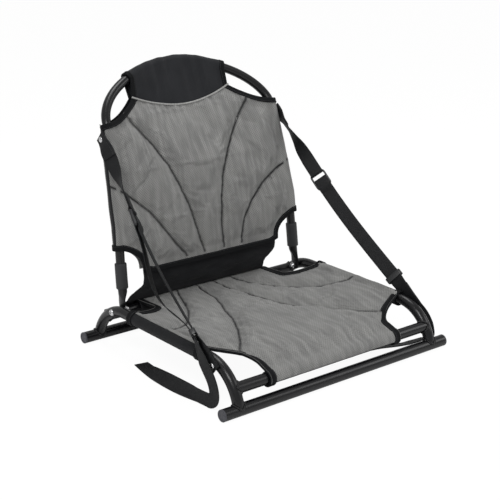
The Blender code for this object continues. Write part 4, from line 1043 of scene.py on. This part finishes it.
def bind(name, path, outs, inward, body, width=1.0):
    """Tape along an edge; outs says where the cloth faces, inward where it lies at the start."""
    path = [Vector(p) for p in path]
    along = (path[1] - path[0]).normalized()
    way = math.copysign(1, along.cross(Vector(outs[0])).dot(Vector(inward)))
    ring = [(way * a * width, b) for a, b in TAPE]
    tape = sweep(name, path, ring, binding_tape, facing=outs, sharp=70)
    line = []
    for i in range(2, len(path) - 2):
        along = (path[i + 1] - path[i - 1]).normalized()
        out = Vector(outs[i])
        out = (out - along * out.dot(along)).normalized()
        line.append(path[i] + along.cross(out) * way * STITCH_INSET * width + out * 0.0011)
    stitch_lines[body].append(line)
    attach(tape, body)


def seat_notch(side, hem_y, bar):
    """Path and outward directions of the tape round one corner notch."""
    path, outs, way = [], [], math.copysign(1, bar[0])
    for turn in between(math.radians(215), 0, 22):
        out = Vector((side * math.sin(turn), 0, math.cos(turn)))
        path.append(Vector((side * RAIL_X, hem_y + way * RAIL_TAPE_PAST, RAIL_HEIGHT)) + out * RAIL_TAPE_RADIUS)
        outs.append(out)
    for y in between(hem_y, bar[0], 30)[1:]:
        x = seat_edge(y, side)
        slope = (seat_z(x, y) - seat_z(x - side * 0.004, y)) / 0.004
        path.append(Vector((x, y, seat_z(x, y) + 0.0003)))
        outs.append(Vector((-side * slope, 0, 1)).normalized())
    for turn in between(0, math.radians(215), 22)[1:]:
        out = Vector((0, way * math.sin(turn), math.cos(turn)))
        path.append(Vector((seat_edge(bar[0], side), *bar)) + out * BAR_TAPE_RADIUS)
        outs.append(out)
    return path, outs


for side, label in SIDES:
    for end, hem_y, bar, inward in (("front", FRONT_HEMS[side][0], FRONT_CROSS, Y),
                                    ("rear", HEM_REAR, REAR_CROSS, -Y)):
        path, outs = seat_notch(side, hem_y, bar)
        bind(f"{end}_{label}_notch_tape", path, outs, inward, "seat")
print("tapes on the seat:", len(stitch_lines["seat"]))

# %% [markdown]
# ## The back pad
# The back is a pillowcase over the hoop: a padded mesh layer in front, a plain mesh layer behind, and
# black cloth down each upright. It leans back with the hoop and sags a little behind it below the
# head. Its seams fan out from the middle of the lower edge.

# %% Write down the back's surface
HEADREST_HALF = 0.104
BACK_BOTTOM, BACK_WRAP_BOTTOM, BACK_CORNER = 0.132, 0.176, 0.152
HEADREST_SHARE, CORNER_SHARE = HEADREST_HALF / SHOULDER_HALF, BACK_CORNER / UPRIGHT_HALF
BACK_SAG, BACK_NOTCH_POWER, FRONT_WRAP = 0.024, 1.8, 0.0113
# Distance of each layer from the hoop's axis: at an upright and in the middle.
LAYER_REACH = {True: (FRONT_WRAP, 0.0068), False: (-0.0112, -0.0045)}


def piping_z(x):
    """Height of the seam between the back and the headrest at x."""
    return 0.391 + 0.021 * (x / HEADREST_HALF) ** 2


def back_y(x, z):
    """Depth of the back's middle: level with the hoop, and sagging behind it near the top."""
    down = math.sin(clamp((z - 0.300) / 0.095) * math.pi / 2)
    sag = BACK_SAG * down * clamp((CROWN_HEIGHT - z) / 0.045)
    return hoop_y(z) + sag * max(1 - (x / SHOULDER_HALF) ** 2, 0)


def back_facing(z):
    """Direction that the back faces at height z."""
    lean = math.atan2(hoop_y(z + 0.012) - hoop_y(z - 0.012), 0.024)
    return Vector((0, -math.cos(lean), math.sin(lean)))


def back_limits(share):
    """Lowest and highest point of the back at a share of its half width."""
    s = abs(share)
    past = max(s - CORNER_SHARE, 0) / (1 - CORNER_SHARE)
    low = BACK_BOTTOM + (BACK_WRAP_BOTTOM - BACK_BOTTOM) * past ** (1 / 2.8)
    if s <= HEADREST_SHARE:
        return low, piping_z(s * SHOULDER_HALF)
    shoulder = SHOULDER_HEIGHT + 0.003
    to_upright = max(1 - s, 0) / (1 - HEADREST_SHARE)
    return low, shoulder + (piping_z(HEADREST_HALF) - shoulder) * to_upright ** BACK_NOTCH_POWER


def back_point(share, turn, z, front=True):
    """A point of the front or rear layer; turn goes round the outer side of an upright."""
    side = math.copysign(1, share)
    x = share * upright_x(min(z, SHOULDER_HEIGHT))
    face = back_facing(z)
    reach, middle = LAYER_REACH[front]
    if turn:
        axis = Vector((x, hoop_y(z), z))
        return axis + face * reach * math.cos(turn) + Vector((side * abs(reach) * math.sin(turn), 0, 0))
    return Vector((x, back_y(x, z), z)) + face * (middle + (reach - middle) * abs(share) ** 5)


def back_grid(inner, outer, turns, rows, front=True, rise=0.0):
    """Grids of the back's points and of their places on the flat map."""
    middle = between(-CORNER_SHARE, CORNER_SHARE, inner)
    past = [CORNER_SHARE + (1 - CORNER_SHARE) * t ** BACK_NOTCH_POWER for t in between(0, 1, outer)[1:]]
    columns = [(-1, t) for t in turns[::-1]] + [(-s, 0) for s in past[::-1]] + [(s, 0) for s in middle]
    columns += [(s, 0) for s in past] + [(1, t) for t in turns]
    grid, flat = [], []
    for share in between(0, 1, rows):
        grid.append([])
        flat.append([])
        for s, turn in columns:
            low, high = back_limits(s)
            z = low + (high + rise - low) * share
            grid[-1].append(back_point(s, turn, z, front))
            x = s * upright_x(min(z, SHOULDER_HEIGHT))
            flat[-1].append((x + math.copysign(FRONT_WRAP * turn, s), z))
    return np.array(grid), np.array(flat)


BACK_SEAMS = [
    in_metres((-16, 128), (-19, 144), (-32, 190), (-43, 229), (-55, 264), (-72, 302), (-90, 336), (-113, 364),
              (-142, 396)),
    in_metres((26, 128), (26, 187), (31, 227), (41, 264), (58, 301), (83, 332), (113, 370), (140, 400)),
    in_metres((-52, 128), (-60, 144), (-77, 164), (-99, 194), (-125, 228), (-149, 249), (-169, 266),
              (-198, 283)),
    in_metres((65, 128), (67, 141), (78, 183), (98, 213), (128, 239), (160, 258), (198, 275))]
print("back height in mm:", round((back_limits(0)[1] - BACK_BOTTOM) / MM))

# %% Sew and fill the back pad
base, flat = back_grid(63, 15, [math.radians(a) for a in (10, 20, 30, 40, 50, 58)], 76)
ends = between(0.0, 1.0, 160)
low_edge = [[(side * s * upright_x(back_limits(s)[0]), back_limits(s)[0]) for s in ends] for side in (-1, 1)]
high_edge = [[(side * s * upright_x(SHOULDER_HEIGHT), back_limits(s)[1]) for s in ends if s > HEADREST_SHARE]
             for side in (-1, 1)]
top_edge = [[(x, piping_z(x)) for x in between(-HEADREST_HALF, HEADREST_HALF, 60)]]
uprights = [[(side * upright_x(z), z) for z in between(0.150, 0.390, 40)] for side in (-1, 1)]
edge = np.minimum(line_distance(flat, low_edge + high_edge) - 0.0115, line_distance(flat, top_edge) - 0.003)
edge = np.minimum(edge, line_distance(flat, uprights) - 0.012)
half_width = np.array([[upright_x(min(z, SHOULDER_HEIGHT)) for z in row] for row in flat[..., 1]])
edge = np.where(np.abs(flat[..., 0]) > half_width, -0.001, edge)


def hanging_folds(grid, flat):
    """Soft upright folds that fade out downwards, and a gentle pull towards the lower edge."""
    upper = np.clip((flat[..., 1] - 0.290) / 0.07, 0, 1)
    lower = np.clip((0.185 - flat[..., 1]) / 0.05, 0, 1)
    streaks = rough_noise(grid, (1, 0.1, 0.12), 0.0115)
    return 0.0008 * streaks * upper + 0.0005 * rough_noise(grid, (1, 0.2, 0.3), 0.009) * lower


back_pad = quilted("back_pad", base, flat, BACK_SEAMS, edge, 0.0062, 0.0026, air_mesh, 3.5, hanging_folds)
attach(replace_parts(back_pad, "back_sling"), "backrest")
print("back pad triangles:", 2 * len(back_pad.data.polygons))

# %% Make the rear layer and the cloth on the uprights
base, flat = back_grid(49, 13, [math.radians(a) for a in (15, 30, 45, 60)], 50, front=False, rise=0.004)
face = normals_of(base)
base = base + face * (0.0009 * rough_noise(base, (1, 0.3, 0.5), 0.022))[..., None]
HALF_CLOTH = 0.0006
rear_layer = cloth_shell("back_rear_layer", base + face * HALF_CLOTH, base - face * HALF_CLOTH, flat, air_mesh)
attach(rear_layer, "backrest")
for side, label in SIDES:
    path = [upright_at(side, z) for z in between(BACK_WRAP_BOTTOM, SHOULDER_HEIGHT + 0.0025, 64)]
    cloth_hem(f"{label}_upright_hem", path, UPRIGHT_HEM, "backrest", 5 * side)
print("rear layer faces:", len(rear_layer.data.polygons))

# %% Bind the back's edges
def upright_ring(side, z, start, steps):
    """Points round an upright at height z, from an angle to its front, and their outward directions."""
    outs = [back_facing(z) * math.cos(turn) + Vector((side * math.sin(turn), 0, 0))
            for turn in between(start, 0, steps)]
    return [upright_at(side, z) + out * UPRIGHT_TAPE_RADIUS for out in outs], outs


path, outs = [], []
for side in (-1, 1):
    ring, ring_outs = upright_ring(side, BACK_WRAP_BOTTOM, math.radians(215), 22)
    cut = [CORNER_SHARE + (1 - CORNER_SHARE) * t ** 2.2 for t in between(1, 0, 26)[1:]]
    shares = cut + between(CORNER_SHARE, 0, 26)[1:]
    drops = [0.0065 * clamp((CORNER_SHARE - s) / 0.10) for s in shares]
    edge_path = [back_point(side * s, 0, back_limits(s)[0] - drop) for s, drop in zip(shares, drops)]
    edge_outs = [back_facing(p.z) for p in edge_path]
    if side < 0:
        path, outs = ring + edge_path, ring_outs + edge_outs
    else:
        path += (ring + edge_path)[-2::-1]
        outs += (ring_outs + edge_outs)[-2::-1]
bind("back_lower_tape", path, outs, (0, 0, 1), "backrest", 0.8)
shoulder_runs = {}
for side, label in SIDES:
    ring, ring_outs = upright_ring(side, SHOULDER_HEIGHT + 0.0025, math.radians(200), 20)
    shares = between(1, HEADREST_SHARE * 0.99, 30)[1:]
    front_edge = [back_point(side * s, 0, back_limits(s)[1]) for s in shares]
    shoulder_runs[side] = (ring + front_edge, ring_outs + [back_facing(p.z) for p in front_edge])
    rear_edge = [back_point(side * s, 0, back_limits(s)[1] + 0.004, False)
                 for s in between(1, HEADREST_SHARE, 30)]
    bind(f"{label}_rear_shoulder_tape", rear_edge, [-back_facing(p.z) for p in rear_edge], (0, 0, -1),
         "backrest", 0.6)
print("tapes on the back:", len(stitch_lines["backrest"]))

# %% [markdown]
# ## Headrest panel and piping
# The panel above the back is plain charcoal polyester, sleeved over the hoop's crown from front to
# rear. It is one sheet that goes up in front, over the tube and down behind, with soft upright
# wrinkles. A light piping is sewn into the seam below it.

# %% Make the headrest panel
TUBE_WRAP = 0.0109


def crown_frame(x):
    """The hoop's axis at x, with the directions away from its middle and to its front."""
    step = 0.002
    before, after = [Vector((a, hoop_y(crown_z(a)), crown_z(a))) for a in (x - step, x + step)]
    along = (after - before).normalized()
    front = back_facing(crown_z(x))
    front = (front - along * front.dot(along)).normalized()
    return Vector((x, hoop_y(crown_z(x)), crown_z(x))), front.cross(along), front


def reach_down(grid):
    """Distance of each row from the first one, measured down the middle of a grid."""
    steps = np.diff(grid[:, grid.shape[1] // 2], axis=0)
    return np.concatenate([[0], np.cumsum(np.linalg.norm(steps, axis=1))])


def headrest_column(x, steps=16, turns=20):
    """Points from the seam in front, straight up to the tube, over it and down to the seam behind."""
    axis, up, front = crown_frame(x)
    share, seam_z = x / SHOULDER_HALF, piping_z(x)
    seams = [back_point(share, 0, seam_z), back_point(share, 0, seam_z, False)]
    meets = []
    for seam, way in zip(seams, (1, -1)):
        reach = seam - axis
        spot = math.atan2(reach.dot(up), reach.dot(front))
        meets.append(spot + way * math.acos(TUBE_WRAP / math.hypot(reach.dot(up), reach.dot(front))))
    meets[1] += math.tau if meets[1] < meets[0] else 0
    over_tube = [axis + (front * math.cos(t) + up * math.sin(t)) * TUBE_WRAP for t in between(*meets, turns)]
    rise = [seams[0].lerp(over_tube[0], t) for t in between(0, 1, steps)[:-1]]
    return rise + over_tube + [over_tube[-1].lerp(seams[1], t) for t in between(0, 1, steps)[1:]]


xs = between(-HEADREST_HALF, HEADREST_HALF, 61)
base = np.array([headrest_column(x) for x in xs]).transpose(1, 0, 2)
reach = reach_down(base)
flat = np.array([[(x, r) for x in xs] for r in reach])
base, flat = finer(base), finer(flat)
wave = np.sin(np.linspace(0, math.tau, base.shape[0]))[:, None]
loose = np.clip(wave, 0, 1) + 0.6 * np.clip(-wave, 0, 1)
wrinkles = 0.0011 * rough_noise(base, (1, 0.15, 0.15), 0.013) * (loose * 0.8 + 0.2)
wrinkles += 0.0006 * rough_noise(base, (1, 0.5, 0.5), 0.030)
wrinkles += 0.0022 * loose * (1 - (flat[..., 0] / HEADREST_HALF) ** 2)
face = normals_of(base)
outer = base + face * wrinkles[..., None]
headrest = cloth_shell("headrest_cloth", outer, outer - face * 0.0014, flat, charcoal_cloth)
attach(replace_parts(headrest, "headrest_panel"), "backrest")
for side, label in SIDES:
    column = 0 if side < 0 else base.shape[1] - 1
    run_path, run_outs = shoulder_runs[side]
    bind(f"{label}_shoulder_tape", run_path + [Vector(p) for p in outer[2:-1:2, column]],
         run_outs + [Vector(n) for n in face[2:-1:2, column]], (0, 0, -1), "backrest", 0.75)
print("headrest cloth length in mm:", round(reach[-1] / MM))

# %% Lay the piping in the seam
PIPING_RADIUS, PIPING_HALF = 0.0017, HEADREST_HALF + 0.002
path = [back_point(x / SHOULDER_HALF, 0, piping_z(x)) for x in between(-PIPING_HALF, PIPING_HALF, 90)]
path = [p + back_facing(p.z) * 0.0014 for p in path]
piping = sweep("headrest_piping", path, round_ring(PIPING_RADIUS, 14), piping_cloth)
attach(piping, "backrest")
print("piping length in mm:", round(length_of(path) / MM))

# %% [markdown]
# ## Lower panel
# A thin black cloth hangs from the back's lower edge and runs down behind the seat to the rear bar.
# It crosses the hinge and is left baked in place, attached to neither body. Slack cloth buckles
# across its pull, so it has a few shallow folds from side to side.

# %% Make the lower panel
PANEL_TOP = Vector((0, hoop_y(BACK_BOTTOM) - 0.001, BACK_BOTTOM + 0.006))
PANEL_WRAP = WRAP + 0.0022
PANEL_FOOT = Vector((0, REAR_CROSS[0], REAR_CROSS[1] + PANEL_WRAP))


def panel_column(steps=46, laps=14):
    """Middle of the panel, from under the back pad down to the rear bar and round behind it."""
    x = 0
    points = []
    for share in between(0, 1, steps):
        y = PANEL_TOP.y + (PANEL_FOOT.y - PANEL_TOP.y) * share ** 2.4
        points.append((x, y, PANEL_TOP.z + (PANEL_FOOT.z - PANEL_TOP.z) * share))
    for turn in between(0, math.radians(120), laps)[1:]:
        points.append((x, REAR_CROSS[0] + PANEL_WRAP * math.sin(turn),
                       REAR_CROSS[1] + PANEL_WRAP * math.cos(turn)))
    return points


# Heights from the foot up, and how far the cloth reaches to the left and to the right there.
HEIGHTS = (0.066, 0.075, 0.085, 0.092, 0.098, 0.104, 0.113, 0.138)
LEFT_REACH = (0.172, 0.170, 0.166, 0.160, 0.152, 0.149, 0.148, 0.150)
RIGHT_REACH = (0.140, 0.136, 0.133, 0.135, 0.142, 0.148, 0.151, 0.151)
base = np.array([panel_column()] * 61).transpose(1, 0, 2).copy()
left_reach, right_reach = [np.interp(base[:, 0, 2], HEIGHTS, reach)[:, None]
                           for reach in (LEFT_REACH, RIGHT_REACH)]
across = np.linspace(0, 1, 61)[None, :]
base[..., 0] = across * right_reach - (1 - across) * left_reach
reach = reach_down(base)
flat = np.stack([base[..., 0], np.repeat(reach[:, None], 61, axis=1)], axis=2)
base, flat = finer(base), finer(flat)
face = normals_of(base[::-1])[::-1]
slack = np.clip(np.sin(np.linspace(0, 1, base.shape[0]) * math.pi * 1.25), 0, 1)[:, None]
folds = 0.0016 * rough_noise(base, (0.35, 1, 1), 0.012) + 0.0022 * rough_noise(base, (1, 1, 1), 0.045)
base = base - face * (slack * folds)[..., None]
front, rear = [(base + face * offset)[::-1] for offset in (HALF_CLOTH, -HALF_CLOTH)]
panel = cloth_shell("lower_panel", front, rear, flat[::-1], black_cloth)
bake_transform(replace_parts(panel, "lower_back_panel"))

# %% [markdown]
# ## Straps
# A strap on each side stops the back from tipping over. It is 25 mm nylon webbing in two parts: a
# short one from the shoulder rivet to the ladder buckle, and a long one from the rail's rivet up to
# the buckle, round its middle bar and down again as the free tail. The webbing is fixed flat on the
# outer side of the tubes, and it twists by about 42 degrees on its way, as the photograph shows:
# the left strap is seen edge-on there and the right one flat. Each point of a strap carries the
# direction of its width, so it can turn over a bar or lie down on the floor.

# %% Write down the straps' route
WEB_WIDTH, WEB_THICKNESS = 0.025, 0.0016
STRAP_SAG, STRAP_BOW, DOUBLE_LIFT, TAIL_LIFT, FOLD_RADIUS = 0.0150, 0.0028, 0.0018, 0.0044, 0.0009
SHOULDER = Vector((0.193033, 0.163337, 0.362))
ANCHOR = Vector((RAIL_X + RAIL_RADIUS + 0.0011, FRONT_FOOT_Y + 0.050, rail_z(FRONT_FOOT_Y + 0.050)))
SPAN = (ANCHOR - SHOULDER).length
DOWN = Vector((0, SHOULDER.z - ANCHOR.z, ANCHOR.y - SHOULDER.y)).normalized()
BUCKLE_SHARE, KEEPER_SHARE, TWIST = 0.353, 0.864, math.radians(42)
WEB_RING = [(side * WEB_WIDTH / 2 * a, side * WEB_THICKNESS / 2 * b) for side in (1, -1) for a, b in
            ((1, 0), (0.985, 0.75), (0.94, 1), (0.6, 0.92), (0.2, 0.9), (-0.2, 0.9), (-0.6, 0.92), (-0.94, 1),
             (-0.985, 0.75))]


def strap_point(share):
    """Middle of the right-hand strap at a share of the way from its shoulder to its anchor."""
    within = clamp(share)
    sag = STRAP_SAG * math.sin(math.pi * within) ** 1.5
    bow = STRAP_BOW * math.sin(math.pi * within ** 1.3)
    return SHOULDER + (ANCHOR - SHOULDER) * share + DOWN * sag + X * bow


TWIST_PLACES = (0.0, 0.02, 0.055, 0.10, 0.15, 0.20, 0.25, 0.30, 0.80, 0.86, 0.92, 0.97)
TWIST_SHARES = (0.0, -0.15, -0.75, -0.85, -0.35, 0.45, 0.92, 1.0, 1.0, 0.85, 0.30, 0.0)


def strap_sides(share):
    """Directions along the strap, across its width and out of its flat side."""
    along = (strap_point(share + 0.004) - strap_point(share - 0.004)).normalized()
    turn = TWIST * float(np.interp(share, TWIST_PLACES, TWIST_SHARES))
    flat = (X - along * X.dot(along)).normalized()
    out = flat * math.cos(turn) - along.cross(flat) * math.sin(turn)
    return along, along.cross(out), out


def mirrored(side, point):
    """A point or direction of the right-hand side, turned over for the left."""
    return Vector((side * point.x, point.y, point.z))


def webbing(name, side, route):
    """Webbing along a route of (point, width direction) pairs, mirrored for the left side."""
    points, widths = [[mirrored(side, pair[k]) for pair in route] for k in (0, 1)]
    facing = []
    for i, width in enumerate(widths):
        along = points[min(i + 1, len(points) - 1)] - points[max(i - 1, 0)]
        facing.append(width.cross(along).normalized())
    piece = sweep(name, points, WEB_RING, webbing_nylon, facing=facing, sharp=60)
    length = length_of(points)
    return piece, length


def over(middle, out, along, width, radius, start, end, steps=9):
    """Route round a bar: from start to end in degrees, 0 being out of the strap and 90 along it."""
    return [(middle + (out * math.cos(a) + along * math.sin(a)) * radius, width)
            for a in angles(start, end, steps)]


def beside(share, out_by):
    """A point of the strap's route moved out of its flat side."""
    _, width, out = strap_sides(share)
    return strap_point(share) + out * out_by, width


def doubled_end(inner, rivet, way):
    """Route on the outer side from the doubled end's inner edge past its rivet, and round its fold."""
    along, width, out = strap_sides(rivet)
    turn_at = strap_point(rivet + way * 0.016) + out * FOLD_RADIUS
    doubled = [beside(s, DOUBLE_LIFT) for s in between(inner, rivet, 14)]
    return doubled + over(turn_at, out, along * way, width, FOLD_RADIUS, 0, 180)


def cross_swing(piece):
    """Bakes a piece of the strap in place; it follows neither the seat nor the backrest."""
    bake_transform(piece)


BUCKLE_LENGTH, BUCKLE_WIDTH, BAR = 0.034, 0.031, 0.0042
MIDDLE = strap_point(BUCKLE_SHARE)
ALONG, WIDTH, OUT = strap_sides(BUCKLE_SHARE)
BAR_REACH = (BUCKLE_LENGTH - BAR) / 2
print("strap from rivet to rivet in mm:", round(SPAN / MM))

# %% Lay the webbing
LEFT_LAY = ((0.0069, 0.019, 0.074), (0.0074, -0.005, 0.046), (0.0084, -0.012, 0.024), (0.0094, 0.001, 0.0131),
            (0.0114, 0.029, 0.0131), (0.0129, 0.081, 0.0105), (0.0084, 0.141, 0.0050), (0.0004, 0.185, 0.0017),
            (-0.0046, 0.211, 0.0012))
LEFT_OUTS = (X, X, X, X, X, (0.85, 0, 0.5), (0.5, 0, 0.85), (0.1, 0, 1), (0, 0, 1))
RIGHT_LAY = ((0.0150, 0.026, 0.070), (0.0170, -0.009, 0.046), (0.0160, -0.025, 0.026), (0.004, -0.021, 0.010),
             (-0.020, -0.014, 0.005), (-0.045, -0.008, 0.003), (-0.076, 0.004, 0.003), (-0.101, 0.010, 0.003))
EDGE_UP = (0, 0.25, 0.96)
RIGHT_OUTS = (X, X, (0.9, 0, 0.35), (0.5, 0.1, 0.85), (0.1, 0.2, 0.95), EDGE_UP, EDGE_UP, EDGE_UP)
LAYS = {-1: (LEFT_LAY, LEFT_OUTS), 1: (RIGHT_LAY, RIGHT_OUTS)}


def free_tail(lay, outs):
    """Route of the tail past its keeper, down to the floor and along it."""
    beneath = Vector((ANCHOR.x, ANCHOR.y, 0))
    start = [beside(KEEPER_SHARE - s, TAIL_LIFT) for s in (0.05, 0.02, 0.0)]
    points = [p for p, _ in start] + [beneath + Vector(p) for p in lay]
    outs = [strap_sides(KEEPER_SHARE)[2]] * 3 + [Vector(o).normalized() for o in outs]
    fine = smooth_path(points, 10)
    route = []
    for i, point in enumerate(fine):
        spot = i * (len(outs) - 1) / (len(fine) - 1)
        low = min(int(spot), len(outs) - 2)
        out = outs[low].lerp(outs[low + 1], spot - low)
        along = (fine[min(i + 1, len(fine) - 1)] - fine[max(i - 1, 0)]).normalized()
        width = along.cross(out).normalized()
        reach = abs(width.z) * WEB_WIDTH / 2 + WEB_THICKNESS / 2
        route.append((Vector((point.x, point.y, max(point.z, reach + 0.0004))), width))
    return route[21:]


strap_ends, strap_stitches = {}, []
for side, label in SIDES:
    top = BUCKLE_SHARE - BAR_REACH / SPAN
    end = doubled_end(0.085, 0.0, -1)
    run_down = [beside(s, 0) for s in between(0.0, top - 0.016, 46)]
    bar = MIDDLE - ALONG * BAR_REACH
    hook = over(bar, OUT, ALONG, WIDTH, BAR / 2 + 0.0011, 10, 190, 13)
    back = [beside(s, -0.0019) for s in between(top - 0.012, top - 0.070, 12)]
    strap, length = webbing(f"{label}_strap_upper", side, end + run_down + hook + back)
    cross_swing(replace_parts(strap, f"{label}_upper_strap"))
    strap_ends[label] = [length]

    low = BUCKLE_SHARE + BAR_REACH / SPAN
    end = doubled_end(0.918, 1.0, 1)
    run_up = [beside(s, 0) for s in between(1.0, low + 0.018, 64)]
    # Under the lower bar, round the middle bar and out again over the lower bar.
    weave = [(MIDDLE + ALONG * (BAR_REACH + 0.004) - OUT * 0.0026, WIDTH),
             (MIDDLE + ALONG * BAR_REACH - OUT * 0.0033, WIDTH)]
    weave += over(MIDDLE, -OUT, -ALONG, WIDTH, BAR / 2 + 0.0011, 20, 160, 13)
    weave += [(MIDDLE + ALONG * BAR_REACH + OUT * 0.0034, WIDTH)]
    # Only the left tail is slack beside its strap: it stands out and hangs a little below it.
    loose = (X * 0.012 - Z * 0.019) * (side < 0)
    shares = between(low + 0.020, KEEPER_SHARE - 0.012, 60)
    tail = [(point + loose * math.sin(math.pi * down) ** 2, width)
            for (point, width), down in zip([beside(s, TAIL_LIFT) for s in shares], between(0, 1, 60))]
    route = end + run_up + weave + tail + free_tail(*LAYS[side])
    strap, length = webbing(f"{label}_strap_lower", side, route)
    cross_swing(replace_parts(strap, f"{label}_load_strap", f"{label}_strap_tail"))
    strap_ends[label].append(length)
    for start, end in ((0.030, 0.080), (0.930, 0.970)):
        for edge_at in (-0.0085, 0.0085):
            line = []
            for share in between(start, end, 12):
                point, width = beside(share, DOUBLE_LIFT + WEB_THICKNESS / 2)
                line.append(mirrored(side, point + width * edge_at))
            strap_stitches.append(line)
print("webbing lengths in mm:", {k: [round(v / MM) for v in ends] for k, ends in strap_ends.items()})

# %% [markdown]
# ## Buckles, keepers and rivets
# The ladder buckle is a moulded frame with a bar across its middle; its rounded section is carried
# round the frame's outline by the sweep. The keeper is a short loop that holds the tail on the
# strap. The rivets have domed steel heads over the doubled webbing.

# %% Mould the buckles and keepers
def placed(side, middle, spots, axes):
    """Points written as distances along, across and out of a strap, mirrored for the left side."""
    return [mirrored(side, middle + axes[0] * a + axes[1] * b + axes[2] * c) for a, b, c in spots]


def rounded_outline(half_length, half_width, corner, steps=7):
    """Outline of a rounded rectangle, as (along, across) pairs."""
    outline = []
    for quarter, (a, b) in enumerate(((1, 1), (-1, 1), (-1, -1), (1, -1))):
        for turn in angles(quarter * 90, quarter * 90 + 90, steps):
            outline.append((a * (half_length - corner) + corner * math.cos(turn),
                            b * (half_width - corner) + corner * math.sin(turn)))
    return outline


def bar_ring(wide, high, corner):
    """Section of a moulded bar with rounded edges."""
    return [(b, a) for a, b in rounded_outline(high / 2, wide / 2, corner, 4)]


for side, label in SIDES:
    axes = (ALONG, WIDTH, OUT)
    flip = mirrored(side, OUT)
    outline = rounded_outline(BAR_REACH, (BUCKLE_WIDTH - BAR) / 2, 0.0045)
    path = placed(side, MIDDLE, [(a, b, 0.0006 * (a / BAR_REACH) ** 2) for a, b in outline], axes)
    sizes = [(0.82 if abs(b) > 0.0125 else 1.0, 1.15 if abs(b) > 0.0125 else 0.85) for a, b in outline]
    frame_piece = sweep(f"{label}_buckle", path, bar_ring(BAR, 0.0046, 0.0013), buckle_plastic,
                        facing=[flip] * len(path), sizes=sizes, closed=True, sharp=50)
    cross_swing(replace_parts(frame_piece, f"{label}_strap_buckle"))
    spots = [(0, b, 0) for b in between(-0.0136, 0.0136, 12)]
    bar = sweep(f"{label}_buckle_bar", placed(side, MIDDLE, spots, axes), bar_ring(BAR, 0.0040, 0.0012),
                buckle_plastic, facing=[flip] * 12)
    cross_swing(bar)

    axes = strap_sides(KEEPER_SHARE)
    middle = strap_point(KEEPER_SHARE) + axes[2] * 0.0022
    outline = rounded_outline(0.0045, 0.0148, 0.0022)
    path = placed(side, middle, [(0, b, a) for a, b in outline], axes)
    keeper = sweep(f"{label}_keeper", path, bar_ring(0.0018, 0.0105, 0.0007), buckle_plastic,
                   facing=[mirrored(side, axes[0])] * len(path), closed=True)
    cross_swing(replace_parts(keeper, f"{label}_strap_keeper"))
print("buckle length in mm:", BUCKLE_LENGTH / MM)

# %% Set the rivets
SHANK_RADIUS, DOME_RADIUS = 0.0023, 0.0051
for side, label in SIDES:
    for place, body in ((SHOULDER, "backrest"), (ANCHOR, "seat")):
        head = DOUBLE_LIFT + WEB_THICKNESS / 2 + 0.0002
        profile = [(0, -0.006), (SHANK_RADIUS, -0.006), (SHANK_RADIUS, head), (DOME_RADIUS - 0.0001, head),
                   (DOME_RADIUS, head + 0.0003)]
        profile += [(DOME_RADIUS * math.cos(a), head + 0.0003 + 0.0021 * math.sin(a))
                    for a in between(0, math.pi / 2, 10)[1:]]
        name = "shoulder_rivet" if body == "backrest" else "strap_rivet"
        rivet = turned(f"{label}_{name}_head", profile, mirrored(side, place), (side, 0, 0), stainless, 28)
        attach(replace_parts(rivet, f"{label}_{name}"), body)

# %% [markdown]
# ## Stitches
# Lockstitches hold every binding and the folded strap ends. Each is a small separate piece of black
# thread, laid along the lines that were noted while the tapes and the webbing were made.

# %% Sew the stitches
for body, lines in stitch_lines.items():
    stitches = run_tree(f"{body}_stitches", run, lines, Pitch=0.0032, Length=0.0023, Width=0.0007,
                        Unevenness=0.12, Seed=11, Finish=thread)
    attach(stitches, body)
for label, half in (("left", strap_stitches[:4]), ("right", strap_stitches[4:])):
    stitches = run_tree(f"{label}_strap_stitches", run, half, Pitch=0.0030, Length=0.0021, Width=0.0007,
                        Unevenness=0.12, Seed=12, Finish=thread)
    cross_swing(stitches)
print("stitched lines:", sum(len(lines) for lines in stitch_lines.values()) + len(strap_stitches))
